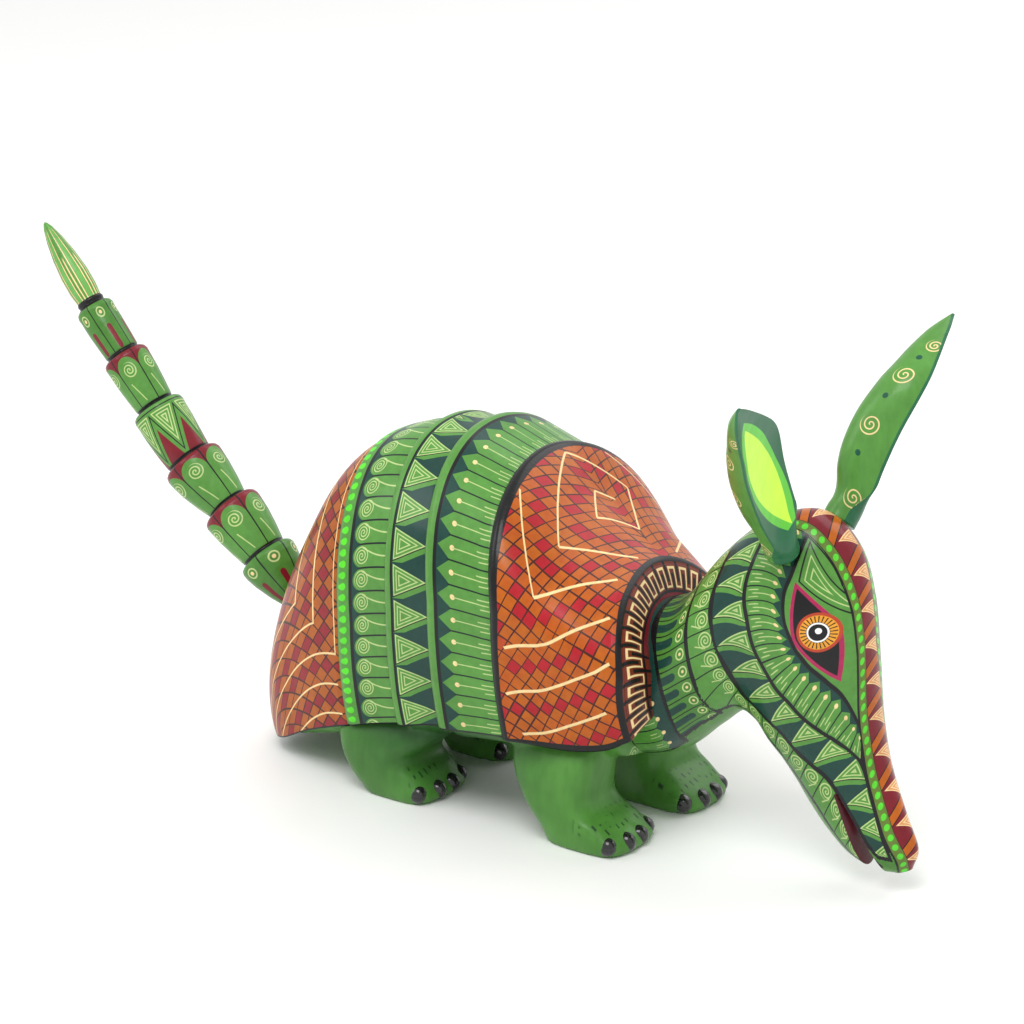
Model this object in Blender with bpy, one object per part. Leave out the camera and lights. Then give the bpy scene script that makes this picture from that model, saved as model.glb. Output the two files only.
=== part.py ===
"""A carved and painted wooden armadillo figure with a plug-in tail and two plug-in ears.

Frame: +X towards the head, +Y towards the figure's left side, +Z up, metres.  The feet stand on Z = 0.
The trunk, shell, neck, head and legs are one carving.  The ears and the tail are carved separately and each one
sits on a round wooden peg that pushes into a drilled socket.  The claws are the ends of the carved toes.
"""

import math

import bmesh
import bpy
import numpy as np
from mathutils import Matrix, Vector

# Driving dimensions, in metres.
GAP = 0.0003  # working gap between neighbouring pieces
CENTRE_X = 0.0146  # moves the whole figure so that its bounding box is centred on X = 0

# The shell's stations, rear to front: x, half width, top, waist height, rim height, belly height, shoulder
# power, which is below 1 for squarer shoulders, and how far the top of the section leans back.
SHELL = (
    (-0.0790, 0.0010, 0.0090, 0.0070, 0.0055, 0.0050, 1.00, 0.0000),
    (-0.0780, 0.0130, 0.0190, 0.0100, 0.0048, 0.0043, 1.00, 0.0000),
    (-0.0745, 0.0220, 0.0400, 0.0190, 0.0046, 0.0041, 1.00, 0.0000),
    (-0.0670, 0.0290, 0.0680, 0.0330, 0.0070, 0.0050, 1.00, 0.0000),
    (-0.0560, 0.0335, 0.0910, 0.0460, 0.0130, 0.0070, 0.95, 0.0000),
    (-0.0440, 0.0370, 0.1065, 0.0540, 0.0185, 0.0100, 0.86, 0.0005),
    (-0.0260, 0.0400, 0.1170, 0.0610, 0.0250, 0.0150, 0.80, 0.0020),
    (-0.0075, 0.0412, 0.1215, 0.0690, 0.0300, 0.0200, 0.95, 0.0035),
    (0.0090, 0.0430, 0.1230, 0.0770, 0.0335, 0.0230, 0.95, 0.0070),
    (0.0360, 0.0440, 0.1175, 0.0820, 0.0350, 0.0250, 1.08, 0.0125),
    (0.0540, 0.0410, 0.1025, 0.0740, 0.0345, 0.0255, 1.22, 0.0125),
    (0.0670, 0.0375, 0.0925, 0.0670, 0.0370, 0.0270, 1.28, 0.0125),
    (0.0740, 0.0340, 0.0880, 0.0630, 0.0410, 0.0330, 1.15, 0.0120),
    (0.0765, 0.0300, 0.0840, 0.0610, 0.0450, 0.0390, 1.10, 0.0115),
    (0.0770, 0.0200, 0.0740, 0.0590, 0.0480, 0.0450, 1.00, 0.0080),
)
RIM_ANGLE = math.radians(120)  # the shell wraps this far from the top of its back on each side
# Rear edges of the bands that overlap the one behind, with the height of each lip.
LIPS = ((-0.0085, 0.0024), (0.0094, 0.0026), (0.0350, 0.0020))
LIP_LENGTH = 0.0160  # a band sinks back to the plain surface over this length

# Neck and head stations: top x and z, underside x and z, half width.
HEAD = (
    (0.0620, 0.0760, 0.0600, 0.0240, 0.0230),
    (0.0800, 0.0835, 0.0780, 0.0290, 0.0225),
    (0.0940, 0.1010, 0.0910, 0.0400, 0.0205),
    (0.1090, 0.1140, 0.1010, 0.0480, 0.0200),
    (0.1250, 0.1190, 0.1080, 0.0460, 0.0205),
    (0.1370, 0.1110, 0.1130, 0.0400, 0.0200),
    (0.1430, 0.0960, 0.1180, 0.0350, 0.0180),
    (0.1460, 0.0760, 0.1230, 0.0290, 0.0155),
    (0.1485, 0.0570, 0.1280, 0.0220, 0.0130),
    (0.1525, 0.0410, 0.1340, 0.0150, 0.0105),
    (0.1590, 0.0260, 0.1410, 0.0090, 0.0080),
    (0.1640, 0.0155, 0.1500, 0.0060, 0.0055),
    (0.1625, 0.0085, 0.1570, 0.0065, 0.0025),
)

# Leg sections from the hip down to the sole, for the right leg: height, rear and front x, inner and outer
# distance from the middle plane.
LEGS = {
    "front": (
        (0.0520, 0.0330, 0.0620, 0.0120, 0.0260), (0.0370, 0.0310, 0.0620, 0.0110, 0.0300),
        (0.0300, 0.0305, 0.0625, 0.0110, 0.0345), (0.0230, 0.0325, 0.0615, 0.0105, 0.0372),
        (0.0160, 0.0358, 0.0606, 0.0100, 0.0375), (0.0120, 0.0380, 0.0626, 0.0096, 0.0372),
        (0.0092, 0.0396, 0.0674, 0.0090, 0.0368), (0.0055, 0.0418, 0.0725, 0.0082, 0.0362),
        (0.0025, 0.0432, 0.0748, 0.0078, 0.0356), (0.0000, 0.0442, 0.0735, 0.0085, 0.0350),
    ),
    "rear": (
        (0.0520, -0.0380, 0.0000, 0.0120, 0.0270), (0.0330, -0.0390, 0.0010, 0.0110, 0.0310),
        (0.0250, -0.0395, -0.0005, 0.0108, 0.0355), (0.0200, -0.0388, -0.0035, 0.0105, 0.0380),
        (0.0160, -0.0375, -0.0080, 0.0100, 0.0390), (0.0120, -0.0362, -0.0086, 0.0097, 0.0389),
        (0.0092, -0.0350, -0.0054, 0.0093, 0.0387), (0.0055, -0.0330, -0.0025, 0.0088, 0.0380),
        (0.0025, -0.0305, 0.0000, 0.0085, 0.0372), (0.0000, -0.0286, -0.0020, 0.0090, 0.0365),
    ),
}
CLAW_LENGTH, CLAW_WIDTH, CLAW_HEIGHT = 0.0064, 0.0046, 0.0054
CLAW_AHEAD, CLAW_HEIGHT_UP, CLAW_TILT = -0.0008, 0.0040, math.radians(24)
CLAWS_PER_FOOT = 4
TOE_SPREAD = 0.37  # how far the outermost claws stand from the middle of the foot, as a share of its width
TOE_SPLAY = math.radians(18)
# How far the outer claws stand back from the middle ones.
CLAW_ROW_CURVE = 0.0030
LEFT_FRONT_LEG_DEEPER = 0.0050  # the left front leg reaches this much further to the rear than the right one

# Ears, given for the right one: seat point, and the ear's own axes.
EAR_SEAT = (0.1225, -0.0165, 0.1105)
EAR_AXIS = (0.155, -0.608, 0.784)
EAR_FACE = (0.755, -0.438, -0.487)
EAR_LENGTH = 0.0755
EAR_SEAT_RADIUS = 0.0066
# How far the hollow side of each ear is turned inwards on its peg: the right ear much more than the left one.
EAR_TURNS = {1: math.radians(38), -1: math.radians(-7)}
EAR_HOLLOW = 0.0012
# The hollow runs out over this last share of the ear's length.
EAR_HOLLOW_END = 0.20
# Shares of the ear's length: where its round foot ends, and how far on the leaf is complete.
EAR_FOOT_SHARE, EAR_BLEND_SHARE = 0.04, 0.16
EAR_SIDES, EAR_RINGS = 24, 21

# Tail: centre line in the plane Y = 0 from the body to the tip, and the radii of the ring segments.
TAIL_LINE = (
    (-0.0822, 0.0449), (-0.0962, 0.0586), (-0.1118, 0.0727), (-0.1289, 0.0864),
    (-0.1440, 0.1030), (-0.1582, 0.1192), (-0.1718, 0.1345), (-0.1931, 0.1612),
)
TAIL_SHOULDERS = (0.0104, 0.0108, 0.0109, 0.0095, 0.0083, 0.0068)  # from the body outwards
TAIL_WAISTS = (0.0052, 0.0082, 0.0076, 0.0084, 0.0070, 0.0062)
TAIL_TIP_RADIUS = 0.0050
TAIL_NECK_RADIUS = 0.0052
# The straight neck ends this far before the tail line starts.
TAIL_NECK_STEP = 0.0010
TAIL_NECK = 0.0060  # length of plain neck let into the rump

# The mouth slot in the plane Y = 0: its closed end, its open end, and the slot's height at each.
MOUTH = ((0.1410, 0.0325), (0.1526, 0.0030), 0.0014, 0.0084)

EAR_PEG_RADIUS, EAR_PEG_LENGTH = 0.0025, 0.0220
TAIL_PEG_RADIUS, TAIL_PEG_LENGTH = 0.0030, 0.0360
PEG_CLEARANCE = 0.0002
TAIL_SEAT_ROOM = 0.0006  # room round the tail's neck in its seat
SEAT_CUT = 0.0300  # the seat cutters reach this far out of the body
SOCKET_OVERRUN = 0.0100  # the socket cutters start this far outside the body
HOLE_LEAD = 0.0050  # the cutters of the pegs' holes start this far outside the piece

RING_STEPS = 26  # points over the shell from rim to rim
HEAD_SIDES = 24
LEG_RINGS, LEG_SIDES = 14, 20
LEG_SQUARENESS = 0.56  # 1 for a round leg, and less for a squarer one
SIDES = {"right": 1, "left": -1}  # the right side is modelled, and the left one is its mirror image

GREEN = (0.10, 0.33, 0.06, 1)
WOOD = (0.62, 0.44, 0.26, 1)


def clear_scene():
    for obj in list(bpy.data.objects):
        bpy.data.objects.remove(obj)


def collection(name):
    made = bpy.data.collections.new(name)
    bpy.context.scene.collection.children.link(made)
    return made


def material(name, colour, roughness):
    made = bpy.data.materials.new(name)
    made.use_nodes = True
    shader = made.node_tree.nodes["Principled BSDF"]
    shader.inputs["Base Color"].default_value = colour
    shader.inputs["Roughness"].default_value = roughness
    shader.inputs["Metallic"].default_value = 0.0
    return made


def curve_through(rows, count):
    """count rows read from a smooth curve through the given rows, which are evenly spaced on it."""
    rows = np.array(rows, float)
    padded = np.vstack((2 * rows[0] - rows[1], rows, 2 * rows[-1] - rows[-2]))
    places = np.linspace(0, len(rows) - 1, count)
    first = np.minimum(places.astype(int), len(rows) - 2)
    t = (places - first)[:, None]
    a, b, c, d = (padded[first + k] for k in range(4))
    return 0.5 * (2 * b + (c - a) * t + (2 * a - 5 * b + 4 * c - d) * t**2 + (3 * b - a - 3 * c + d) * t**3)


def loft(name, rings, where, surface):
    """A closed skin over rings of equally many points, with a flat cap on each end."""
    bm = bmesh.new()
    made = [[bm.verts.new(point) for point in ring] for ring in rings]
    for near, far in zip(made, made[1:]):
        for k in range(len(near)):
            n = (k + 1) % len(near)
            bm.faces.new((near[k], near[n], far[n], far[k]))
    bm.faces.new(made[0][::-1])
    bm.faces.new(made[-1])
    bmesh.ops.recalc_face_normals(bm, faces=bm.faces)
    return add_mesh(name, bm, where, surface)


def add_mesh(name, bm, where, surface=None):
    mesh = bpy.data.meshes.new(name)
    bm.to_mesh(mesh)
    bm.free()
    obj = bpy.data.objects.new(name, mesh)
    where.objects.link(obj)
    if surface is not None:
        mesh.materials.append(surface)
    mesh.shade_smooth()
    mesh.set_sharp_from_angle(angle=math.radians(40))
    return obj


def set_origin(obj, point):
    """Puts a moving piece's origin on its joint's axis, without moving its mesh."""
    obj.data.transform(Matrix.Translation(-point))
    obj.location = point


def as_cutter(obj):
    obj.hide_render = True
    obj.display_type = "WIRE"
    return obj


def boolean(obj, operation, other):
    """Joins or cuts with one object or a whole collection."""
    modifier = obj.modifiers.new(operation.title(), "BOOLEAN")
    modifier.operation = operation
    modifier.solver = "EXACT"
    if isinstance(other, bpy.types.Collection):
        modifier.operand_type = "COLLECTION"
        modifier.collection = other
    else:
        modifier.object = other


def lip_height(x):
    """How far the band that covers x stands above the plain shell."""
    height = 0.0
    for edge, lip in LIPS:
        if edge <= x < edge + LIP_LENGTH:
            height = max(height, lip * (1 - (x - edge) / LIP_LENGTH))
    return height


def shell_stations():
    """The smooth stations, with a pair close together at each lip so that its step stays sharp."""
    rows = curve_through(SHELL, 36)
    extra = []
    for edge, _ in LIPS:
        for x in (edge - 0.0002, edge + 0.0002):
            extra.append([x] + [np.interp(x, rows[:, 0], rows[:, k]) for k in range(1, 8)])
    clear = [row for row in rows if all(abs(row[0] - edge) > 0.0012 for edge, _ in LIPS)]
    return sorted(clear + extra, key=lambda row: row[0])


def shell_ring(x, half_width, top, waist, rim, belly, power, lean):
    """One section of shell and belly, from the right rim over the back to the left rim and under the belly."""
    raised = lip_height(x)
    points = []
    for k in range(RING_STEPS + 1):
        angle = RIM_ANGLE * (2 * k / RING_STEPS - 1)
        s, c = math.sin(angle), math.cos(angle)
        y = (half_width + raised) * math.copysign(abs(s) ** power, s)
        if c >= 0:
            z = waist + (top + raised - waist) * c
        else:
            z = waist + (waist - rim) / abs(math.cos(RIM_ANGLE)) * c
        points.append((x + CENTRE_X - lean * max(0.0, c) ** 2, y, z))
    edge = points[-1][1]
    under = ((0.94, rim - 0.35 * (rim - belly)), (0.78, rim - 0.75 * (rim - belly)), (0.45, belly), (0.0, belly))
    points += [(x + CENTRE_X, edge * share, z) for share, z in under]
    points += [(x + CENTRE_X, -edge * share, z) for share, z in under[-2::-1]]
    return points


def head_ring(top_x, top_z, low_x, low_z, half_width):
    """One section of neck or head between its top and underside points."""
    middle = Vector(((top_x + low_x) / 2 + CENTRE_X, 0, (top_z + low_z) / 2))
    half = Vector(((top_x - low_x) / 2, 0, (top_z - low_z) / 2))
    points = []
    for k in range(HEAD_SIDES):
        angle = 2 * math.pi * k / HEAD_SIDES
        points.append(middle + half * math.cos(angle) + Vector((0, -half_width * math.sin(angle), 0)))
    return points


def leg_rings(stations, side, deeper):
    """Sections of one leg from the hip, inside the belly, down to the flat sole."""
    rings = []
    for z, rear, front, inner, outer in curve_through(stations, LEG_RINGS):
        rear -= deeper
        ring = []
        for k in range(LEG_SIDES):
            angle = 2 * math.pi * (k + 0.5) / LEG_SIDES
            c, s = math.cos(angle), math.sin(angle)
            x = (rear + front) / 2 + (front - rear) / 2 * math.copysign(abs(c) ** LEG_SQUARENESS, c)
            y = (inner + outer) / 2 + (outer - inner) / 2 * math.copysign(abs(s) ** LEG_SQUARENESS, s)
            ring.append((x + CENTRE_X, -side * y, max(z, 0.0)))
        rings.append(ring)
    return rings


def claw_matrix(leg, side, index):
    """Place and tilt of one claw along the front of a foot."""
    _, _, front, inner, outer = LEGS[leg][-2]
    share = index / (CLAWS_PER_FOOT - 1) * 2 - 1  # -1 at the inner claw, 1 at the outer one
    x = front + CENTRE_X + CLAW_AHEAD - CLAW_ROW_CURVE * share**2
    y = -side * ((inner + outer) / 2 + share * TOE_SPREAD * (outer - inner))
    turn = Matrix.Rotation(-side * share * TOE_SPLAY, 4, "Z")
    tilt = Matrix.Rotation(CLAW_TILT, 4, "Y")
    return Matrix.Translation((x, y, CLAW_HEIGHT_UP)) @ turn @ tilt


def claw(name, leg, side, index, where, surface):
    """The rounded end of one toe."""
    bm = bmesh.new()
    bmesh.ops.create_uvsphere(bm, u_segments=8, v_segments=6, radius=1.0)
    size = Vector((CLAW_LENGTH, CLAW_WIDTH, CLAW_HEIGHT)) / 2
    place = claw_matrix(leg, side, index) @ Matrix.Diagonal((*size, 1)) @ Matrix.Rotation(math.pi / 2, 4, "Y")
    bmesh.ops.transform(bm, matrix=place, verts=bm.verts)
    bmesh.ops.recalc_face_normals(bm, faces=bm.faces)
    return add_mesh(name, bm, where, surface)


def mouth_slot(where):
    """A wedge right through the snout between the lips."""
    (in_x, in_z), (out_x, out_z), in_height, out_height = MOUTH
    start = Vector((in_x + CENTRE_X, 0, in_z))
    end = Vector((out_x + CENTRE_X, 0, out_z))
    up = (end - start).normalized().cross(Vector((0, 1, 0)))
    rings = []
    for y in (-0.03, 0.03):
        across = Vector((0, y, 0))
        ring = [start - up * in_height / 2, end - up * out_height / 2, end + up * out_height / 2]
        rings.append([point + across for point in ring + [start + up * in_height / 2]])
    return loft("mouth_slot", rings, where, None)


def rod(name, start, axis, length, radius, where, surface=None, sides=20):
    """A cylinder from a start point along an axis."""
    bm = bmesh.new()
    bmesh.ops.create_cone(bm, cap_ends=True, segments=sides, radius1=radius, radius2=radius, depth=length)
    axis = Vector(axis).normalized()
    place = Matrix.Translation(Vector(start) + axis * length / 2) @ axis.to_track_quat("Z", "Y").to_matrix().to_4x4()
    bmesh.ops.transform(bm, matrix=place, verts=bm.verts)
    return add_mesh(name, bm, where, surface)


def ear_frame(side):
    """Seat point, axis, face normal and width direction of one ear."""
    flip = Vector((1, side, 1))
    seat = Vector(EAR_SEAT) * flip + Vector((CENTRE_X, 0, 0))
    axis = (Vector(EAR_AXIS) * flip).normalized()
    face = Vector(EAR_FACE) * flip
    face = (face - axis * face.dot(axis)).normalized()
    across = axis.cross(face) * side
    c, s = math.cos(EAR_TURNS[side]), math.sin(EAR_TURNS[side])
    return seat, axis, face * c + across * s, across * c - face * s


def ear(name, side, where, surface):
    """A leaf with a slightly hollow face and a deep rounded back, on a round foot."""
    seat, axis, face, across = ear_frame(side)
    # Share of length, half width, depth behind the face, the face's place ahead of the peg, and a sideways shift.
    stations = (
        (0.00, 0.0054, 0.0056, 0.0056, 0.0), (0.05, 0.0056, 0.0068, 0.0054, 0.0),
        (0.12, 0.0070, 0.0106, 0.0042, 0.0010), (0.26, 0.0084, 0.0130, 0.0020, 0.0020),
        (0.42, 0.0092, 0.0132, 0.0006, 0.0032), (0.58, 0.0100, 0.0117, 0.0002, 0.0044),
        (0.68, 0.0092, 0.0100, 0.0004, 0.0042), (0.78, 0.0073, 0.0080, 0.0006, 0.0028),
        (0.88, 0.0050, 0.0054, 0.0008, 0.0011), (0.94, 0.0032, 0.0033, 0.0010, 0.0003),
        (0.98, 0.0015, 0.0016, 0.0010, 0.0), (1.00, 0.0006, 0.0007, 0.0010, 0.0),
    )
    rings = []
    for share, half_width, depth, front, shift in curve_through(stations, EAR_RINGS):
        blend = min(1.0, max(0.0, (share - EAR_FOOT_SHARE) / EAR_BLEND_SHARE))  # 0 on the foot, 1 on the leaf
        hollow = EAR_HOLLOW * min(1.0, (1 - share) / EAR_HOLLOW_END)
        ring = []
        for k in range(EAR_SIDES):
            angle = 2 * math.pi * k / EAR_SIDES
            c, s = math.cos(angle), math.sin(angle)
            round_point = (half_width * s, half_width * c)
            leaf_point = (half_width * s, front - hollow * (1 - s * s) if c > 0 else front + depth * c)
            u = round_point[0] * (1 - blend) + leaf_point[0] * blend + shift
            v = round_point[1] * (1 - blend) + leaf_point[1] * blend
            ring.append(seat + axis * (GAP + EAR_LENGTH * share) + across * u + face * v)
        rings.append(ring)
    return loft(name, rings, where, surface)


def tail_frame():
    """Points along the tail's centre line, and the direction out of the body at its root."""
    line = [Vector((x + CENTRE_X, 0, z)) for x, z in TAIL_LINE]
    return line, (line[1] - line[0]).normalized()


def tail(name, where, surface):
    """Ring segments that each open into a rounded shoulder towards the tip, a plain neck, and a pointed end."""
    line, out = tail_frame()
    count = len(TAIL_SHOULDERS)
    stations = [(line[0] - out * TAIL_NECK, TAIL_NECK_RADIUS), (line[0] - out * TAIL_NECK_STEP, TAIL_NECK_RADIUS)]
    for k in range(count):
        start, end = line[k], line[k + 1]
        waist, shoulder = TAIL_WAISTS[k], TAIL_SHOULDERS[k]
        after = TAIL_WAISTS[k + 1] if k + 1 < count else TAIL_TIP_RADIUS
        for share, radius in (
            (0.02, waist), (0.30, waist * 0.45 + shoulder * 0.55), (0.60, waist * 0.12 + shoulder * 0.88),
            (0.82, shoulder), (0.94, shoulder * 0.93), (0.99, after * 1.06),
        ):
            stations.append((start.lerp(end, share), radius))
    start, end = line[count], line[count + 1]
    tip_shape = ((0.02, 1.0), (0.15, 1.08), (0.35, 1.0), (0.60, 0.78), (0.82, 0.50), (0.95, 0.26), (1.0, 0.08))
    for share, radius in tip_shape:
        stations.append((start.lerp(end, share), TAIL_TIP_RADIUS * radius))
    curve = bpy.data.curves.new(name, "CURVE")
    curve.dimensions = "3D"
    curve.bevel_depth = 1.0
    curve.bevel_resolution = 3
    curve.use_fill_caps = True
    spline = curve.splines.new("POLY")
    spline.points.add(len(stations) - 1)
    for point, (centre, radius) in zip(spline.points, stations):
        point.co = (*centre, 1)
        point.radius = radius
    shape = bpy.data.objects.new(f"{name}_curve", curve)
    bm = bmesh.new()
    bm.from_mesh(shape.to_mesh())
    shape.to_mesh_clear()
    bpy.data.objects.remove(shape)
    bpy.data.curves.remove(curve)
    bmesh.ops.remove_doubles(bm, verts=bm.verts, dist=1e-7)
    bmesh.ops.recalc_face_normals(bm, faces=bm.faces)
    return add_mesh(name, bm, where, surface)


def build():
    clear_scene()
    figure, helpers = collection("armadillo_figure"), collection("helpers")
    joined, sockets = collection("joined_to_body"), collection("cut_from_body")
    helpers.children.link(joined)
    helpers.children.link(sockets)
    for group in (joined, sockets):
        bpy.context.scene.collection.children.unlink(group)
    paint = {name: material(f"{name}_paint", GREEN, 0.4) for name in ("body", "ears", "tail")}
    wood = material("peg_wood", WOOD, 0.7)

    body = loft("body", [shell_ring(*row) for row in shell_stations()], figure, paint["body"])
    as_cutter(loft("head_block", [head_ring(*row) for row in curve_through(HEAD, 30)], joined, paint["body"]))
    for side_name, side in SIDES.items():
        for leg, sizes in LEGS.items():
            deeper = LEFT_FRONT_LEG_DEEPER if (leg, side_name) == ("front", "left") else 0.0
            as_cutter(loft(f"leg_{leg}_{side_name}", leg_rings(sizes, side, deeper), joined, paint["body"]))
            for index in range(CLAWS_PER_FOOT):
                name = f"claw_{leg}_{side_name}_{index + 1}"
                as_cutter(claw(name, leg, side, index, joined, paint["body"]))

        seat, axis, _, _ = ear_frame(side)
        as_cutter(rod(f"ear_seat_{side_name}", seat, axis, SEAT_CUT, EAR_SEAT_RADIUS, sockets))
        depth = EAR_PEG_LENGTH / 2
        bore = EAR_PEG_RADIUS + PEG_CLEARANCE
        start = seat - axis * (depth + GAP)
        as_cutter(rod(f"ear_socket_{side_name}", start, axis, depth + SOCKET_OVERRUN, bore, sockets))
        peg = rod(f"ear_peg_{side_name}", seat - axis * depth, axis, EAR_PEG_LENGTH, EAR_PEG_RADIUS, figure, wood)
        leaf = ear(f"ear_{side_name}", side, figure, paint["ears"])
        start = seat - axis * HOLE_LEAD
        hole = as_cutter(rod(f"ear_hole_{side_name}", start, axis, depth + HOLE_LEAD + GAP, bore, helpers))
        boolean(leaf, "DIFFERENCE", hole)
        for piece in (peg, leaf):
            set_origin(piece, seat)

    line, out = tail_frame()
    root = line[0] - out * TAIL_NECK
    depth = TAIL_PEG_LENGTH / 2
    bore = TAIL_PEG_RADIUS + PEG_CLEARANCE
    as_cutter(rod("tail_seat", root - out * GAP, out, SEAT_CUT, TAIL_NECK_RADIUS + TAIL_SEAT_ROOM, sockets))
    as_cutter(rod("tail_socket", root - out * (depth + GAP), out, depth + SOCKET_OVERRUN, bore, sockets))
    peg = rod("tail_peg", root - out * depth, out, TAIL_PEG_LENGTH, TAIL_PEG_RADIUS, figure, wood)
    plug = tail("tail", figure, paint["tail"])
    hole = as_cutter(rod("tail_hole", root - out * HOLE_LEAD, out, depth + HOLE_LEAD + GAP, bore, helpers))
    boolean(plug, "DIFFERENCE", hole)
    for piece in (peg, plug):
        set_origin(piece, root)

    as_cutter(mouth_slot(sockets))
    boolean(body, "UNION", joined)
    boolean(body, "DIFFERENCE", sockets)


build()
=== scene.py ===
import math

import bmesh
import bpy
import numpy as np
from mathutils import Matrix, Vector, kdtree


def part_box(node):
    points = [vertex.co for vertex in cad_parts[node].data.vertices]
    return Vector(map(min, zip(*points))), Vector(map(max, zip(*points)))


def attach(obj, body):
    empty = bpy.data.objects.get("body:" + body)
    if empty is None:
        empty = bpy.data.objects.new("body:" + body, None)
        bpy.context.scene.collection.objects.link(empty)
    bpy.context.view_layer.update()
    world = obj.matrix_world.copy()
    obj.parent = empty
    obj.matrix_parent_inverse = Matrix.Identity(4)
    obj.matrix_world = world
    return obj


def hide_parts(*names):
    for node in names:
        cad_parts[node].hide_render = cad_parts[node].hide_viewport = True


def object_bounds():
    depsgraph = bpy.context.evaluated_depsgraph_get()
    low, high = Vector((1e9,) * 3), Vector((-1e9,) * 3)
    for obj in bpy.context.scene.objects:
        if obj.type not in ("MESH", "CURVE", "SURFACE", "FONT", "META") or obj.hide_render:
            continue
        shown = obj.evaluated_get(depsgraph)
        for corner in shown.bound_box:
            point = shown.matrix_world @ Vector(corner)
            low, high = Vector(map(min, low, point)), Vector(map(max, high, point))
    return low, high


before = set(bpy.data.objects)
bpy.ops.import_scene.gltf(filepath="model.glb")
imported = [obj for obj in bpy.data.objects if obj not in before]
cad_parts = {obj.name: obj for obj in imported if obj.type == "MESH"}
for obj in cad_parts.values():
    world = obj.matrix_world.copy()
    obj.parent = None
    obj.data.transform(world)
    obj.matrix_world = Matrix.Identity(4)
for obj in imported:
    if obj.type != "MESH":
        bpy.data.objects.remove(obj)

cad_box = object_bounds()

MM = 0.001
MILLIMETRES = 1000.0
body_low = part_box("body")[0]
SHELL_START = -79.0
CENTRE_X = body_low[0] * MILLIMETRES - SHELL_START

# ---------------------------------------------------------------- painting
GREEN = (0.062, 0.200, 0.030)
LEAF = (0.082, 0.250, 0.042)
TEAL = (0.006, 0.045, 0.034)
VIVID = (0.090, 0.660, 0.020)
BLACK = (0.006, 0.006, 0.007)
CREAM = (0.800, 0.600, 0.290)
PALE = (0.440, 0.560, 0.220)
ORANGE = (0.430, 0.098, 0.004)
RED = (0.380, 0.008, 0.016)
WINE = (0.170, 0.008, 0.016)
RUST = (0.150, 0.024, 0.012)
PEACH = (0.620, 0.260, 0.100)
MAROON = (0.075, 0.006, 0.012)
OLIVE = (0.110, 0.170, 0.026)
AMBER = (0.700, 0.300, 0.025)
MAGENTA = (0.360, 0.016, 0.080)
WHITE = (0.850, 0.850, 0.830)
LIME = (0.580, 0.940, 0.060)
BRIGHT = (0.120, 0.560, 0.045)
DEEP = (0.018, 0.130, 0.055)
WOOD = (0.480, 0.300, 0.150)


class Number:
    """A number that a material works out: a node's output."""

    def __init__(self, paint, socket):
        self.paint = paint
        self.socket = socket

    def math(self, operation, *others, clamp=False):
        return self.paint.math(operation, self, *others, clamp=clamp)

    def __neg__(self):
        return self * -1.0

    def __abs__(self):
        return self.math("ABSOLUTE")

    def floor(self):
        return self.math("FLOOR")

    def fract(self):
        return self.math("FRACT")


def operators(operation):
    """An arithmetic operator of Number, and the same one with its sides swapped."""
    def plain(self, other):
        return self.math(operation, other)

    def swapped(self, other):
        return self.paint.math(operation, other, self)

    return plain, swapped


OPERATIONS = {"add": "ADD", "sub": "SUBTRACT", "mul": "MULTIPLY", "truediv": "DIVIDE", "pow": "POWER"}
for sign, operation in OPERATIONS.items():
    plain, swapped = operators(operation)
    setattr(Number, f"__{sign}__", plain)
    setattr(Number, f"__r{sign}__", swapped)

# paint stands up from the wood by this much, in metres, and its edges are this soft, in millimetres
PAINT_HEIGHT = 0.00005
SOFT_EDGE = 0.14
WOBBLE_SCALE = 75.0


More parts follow.
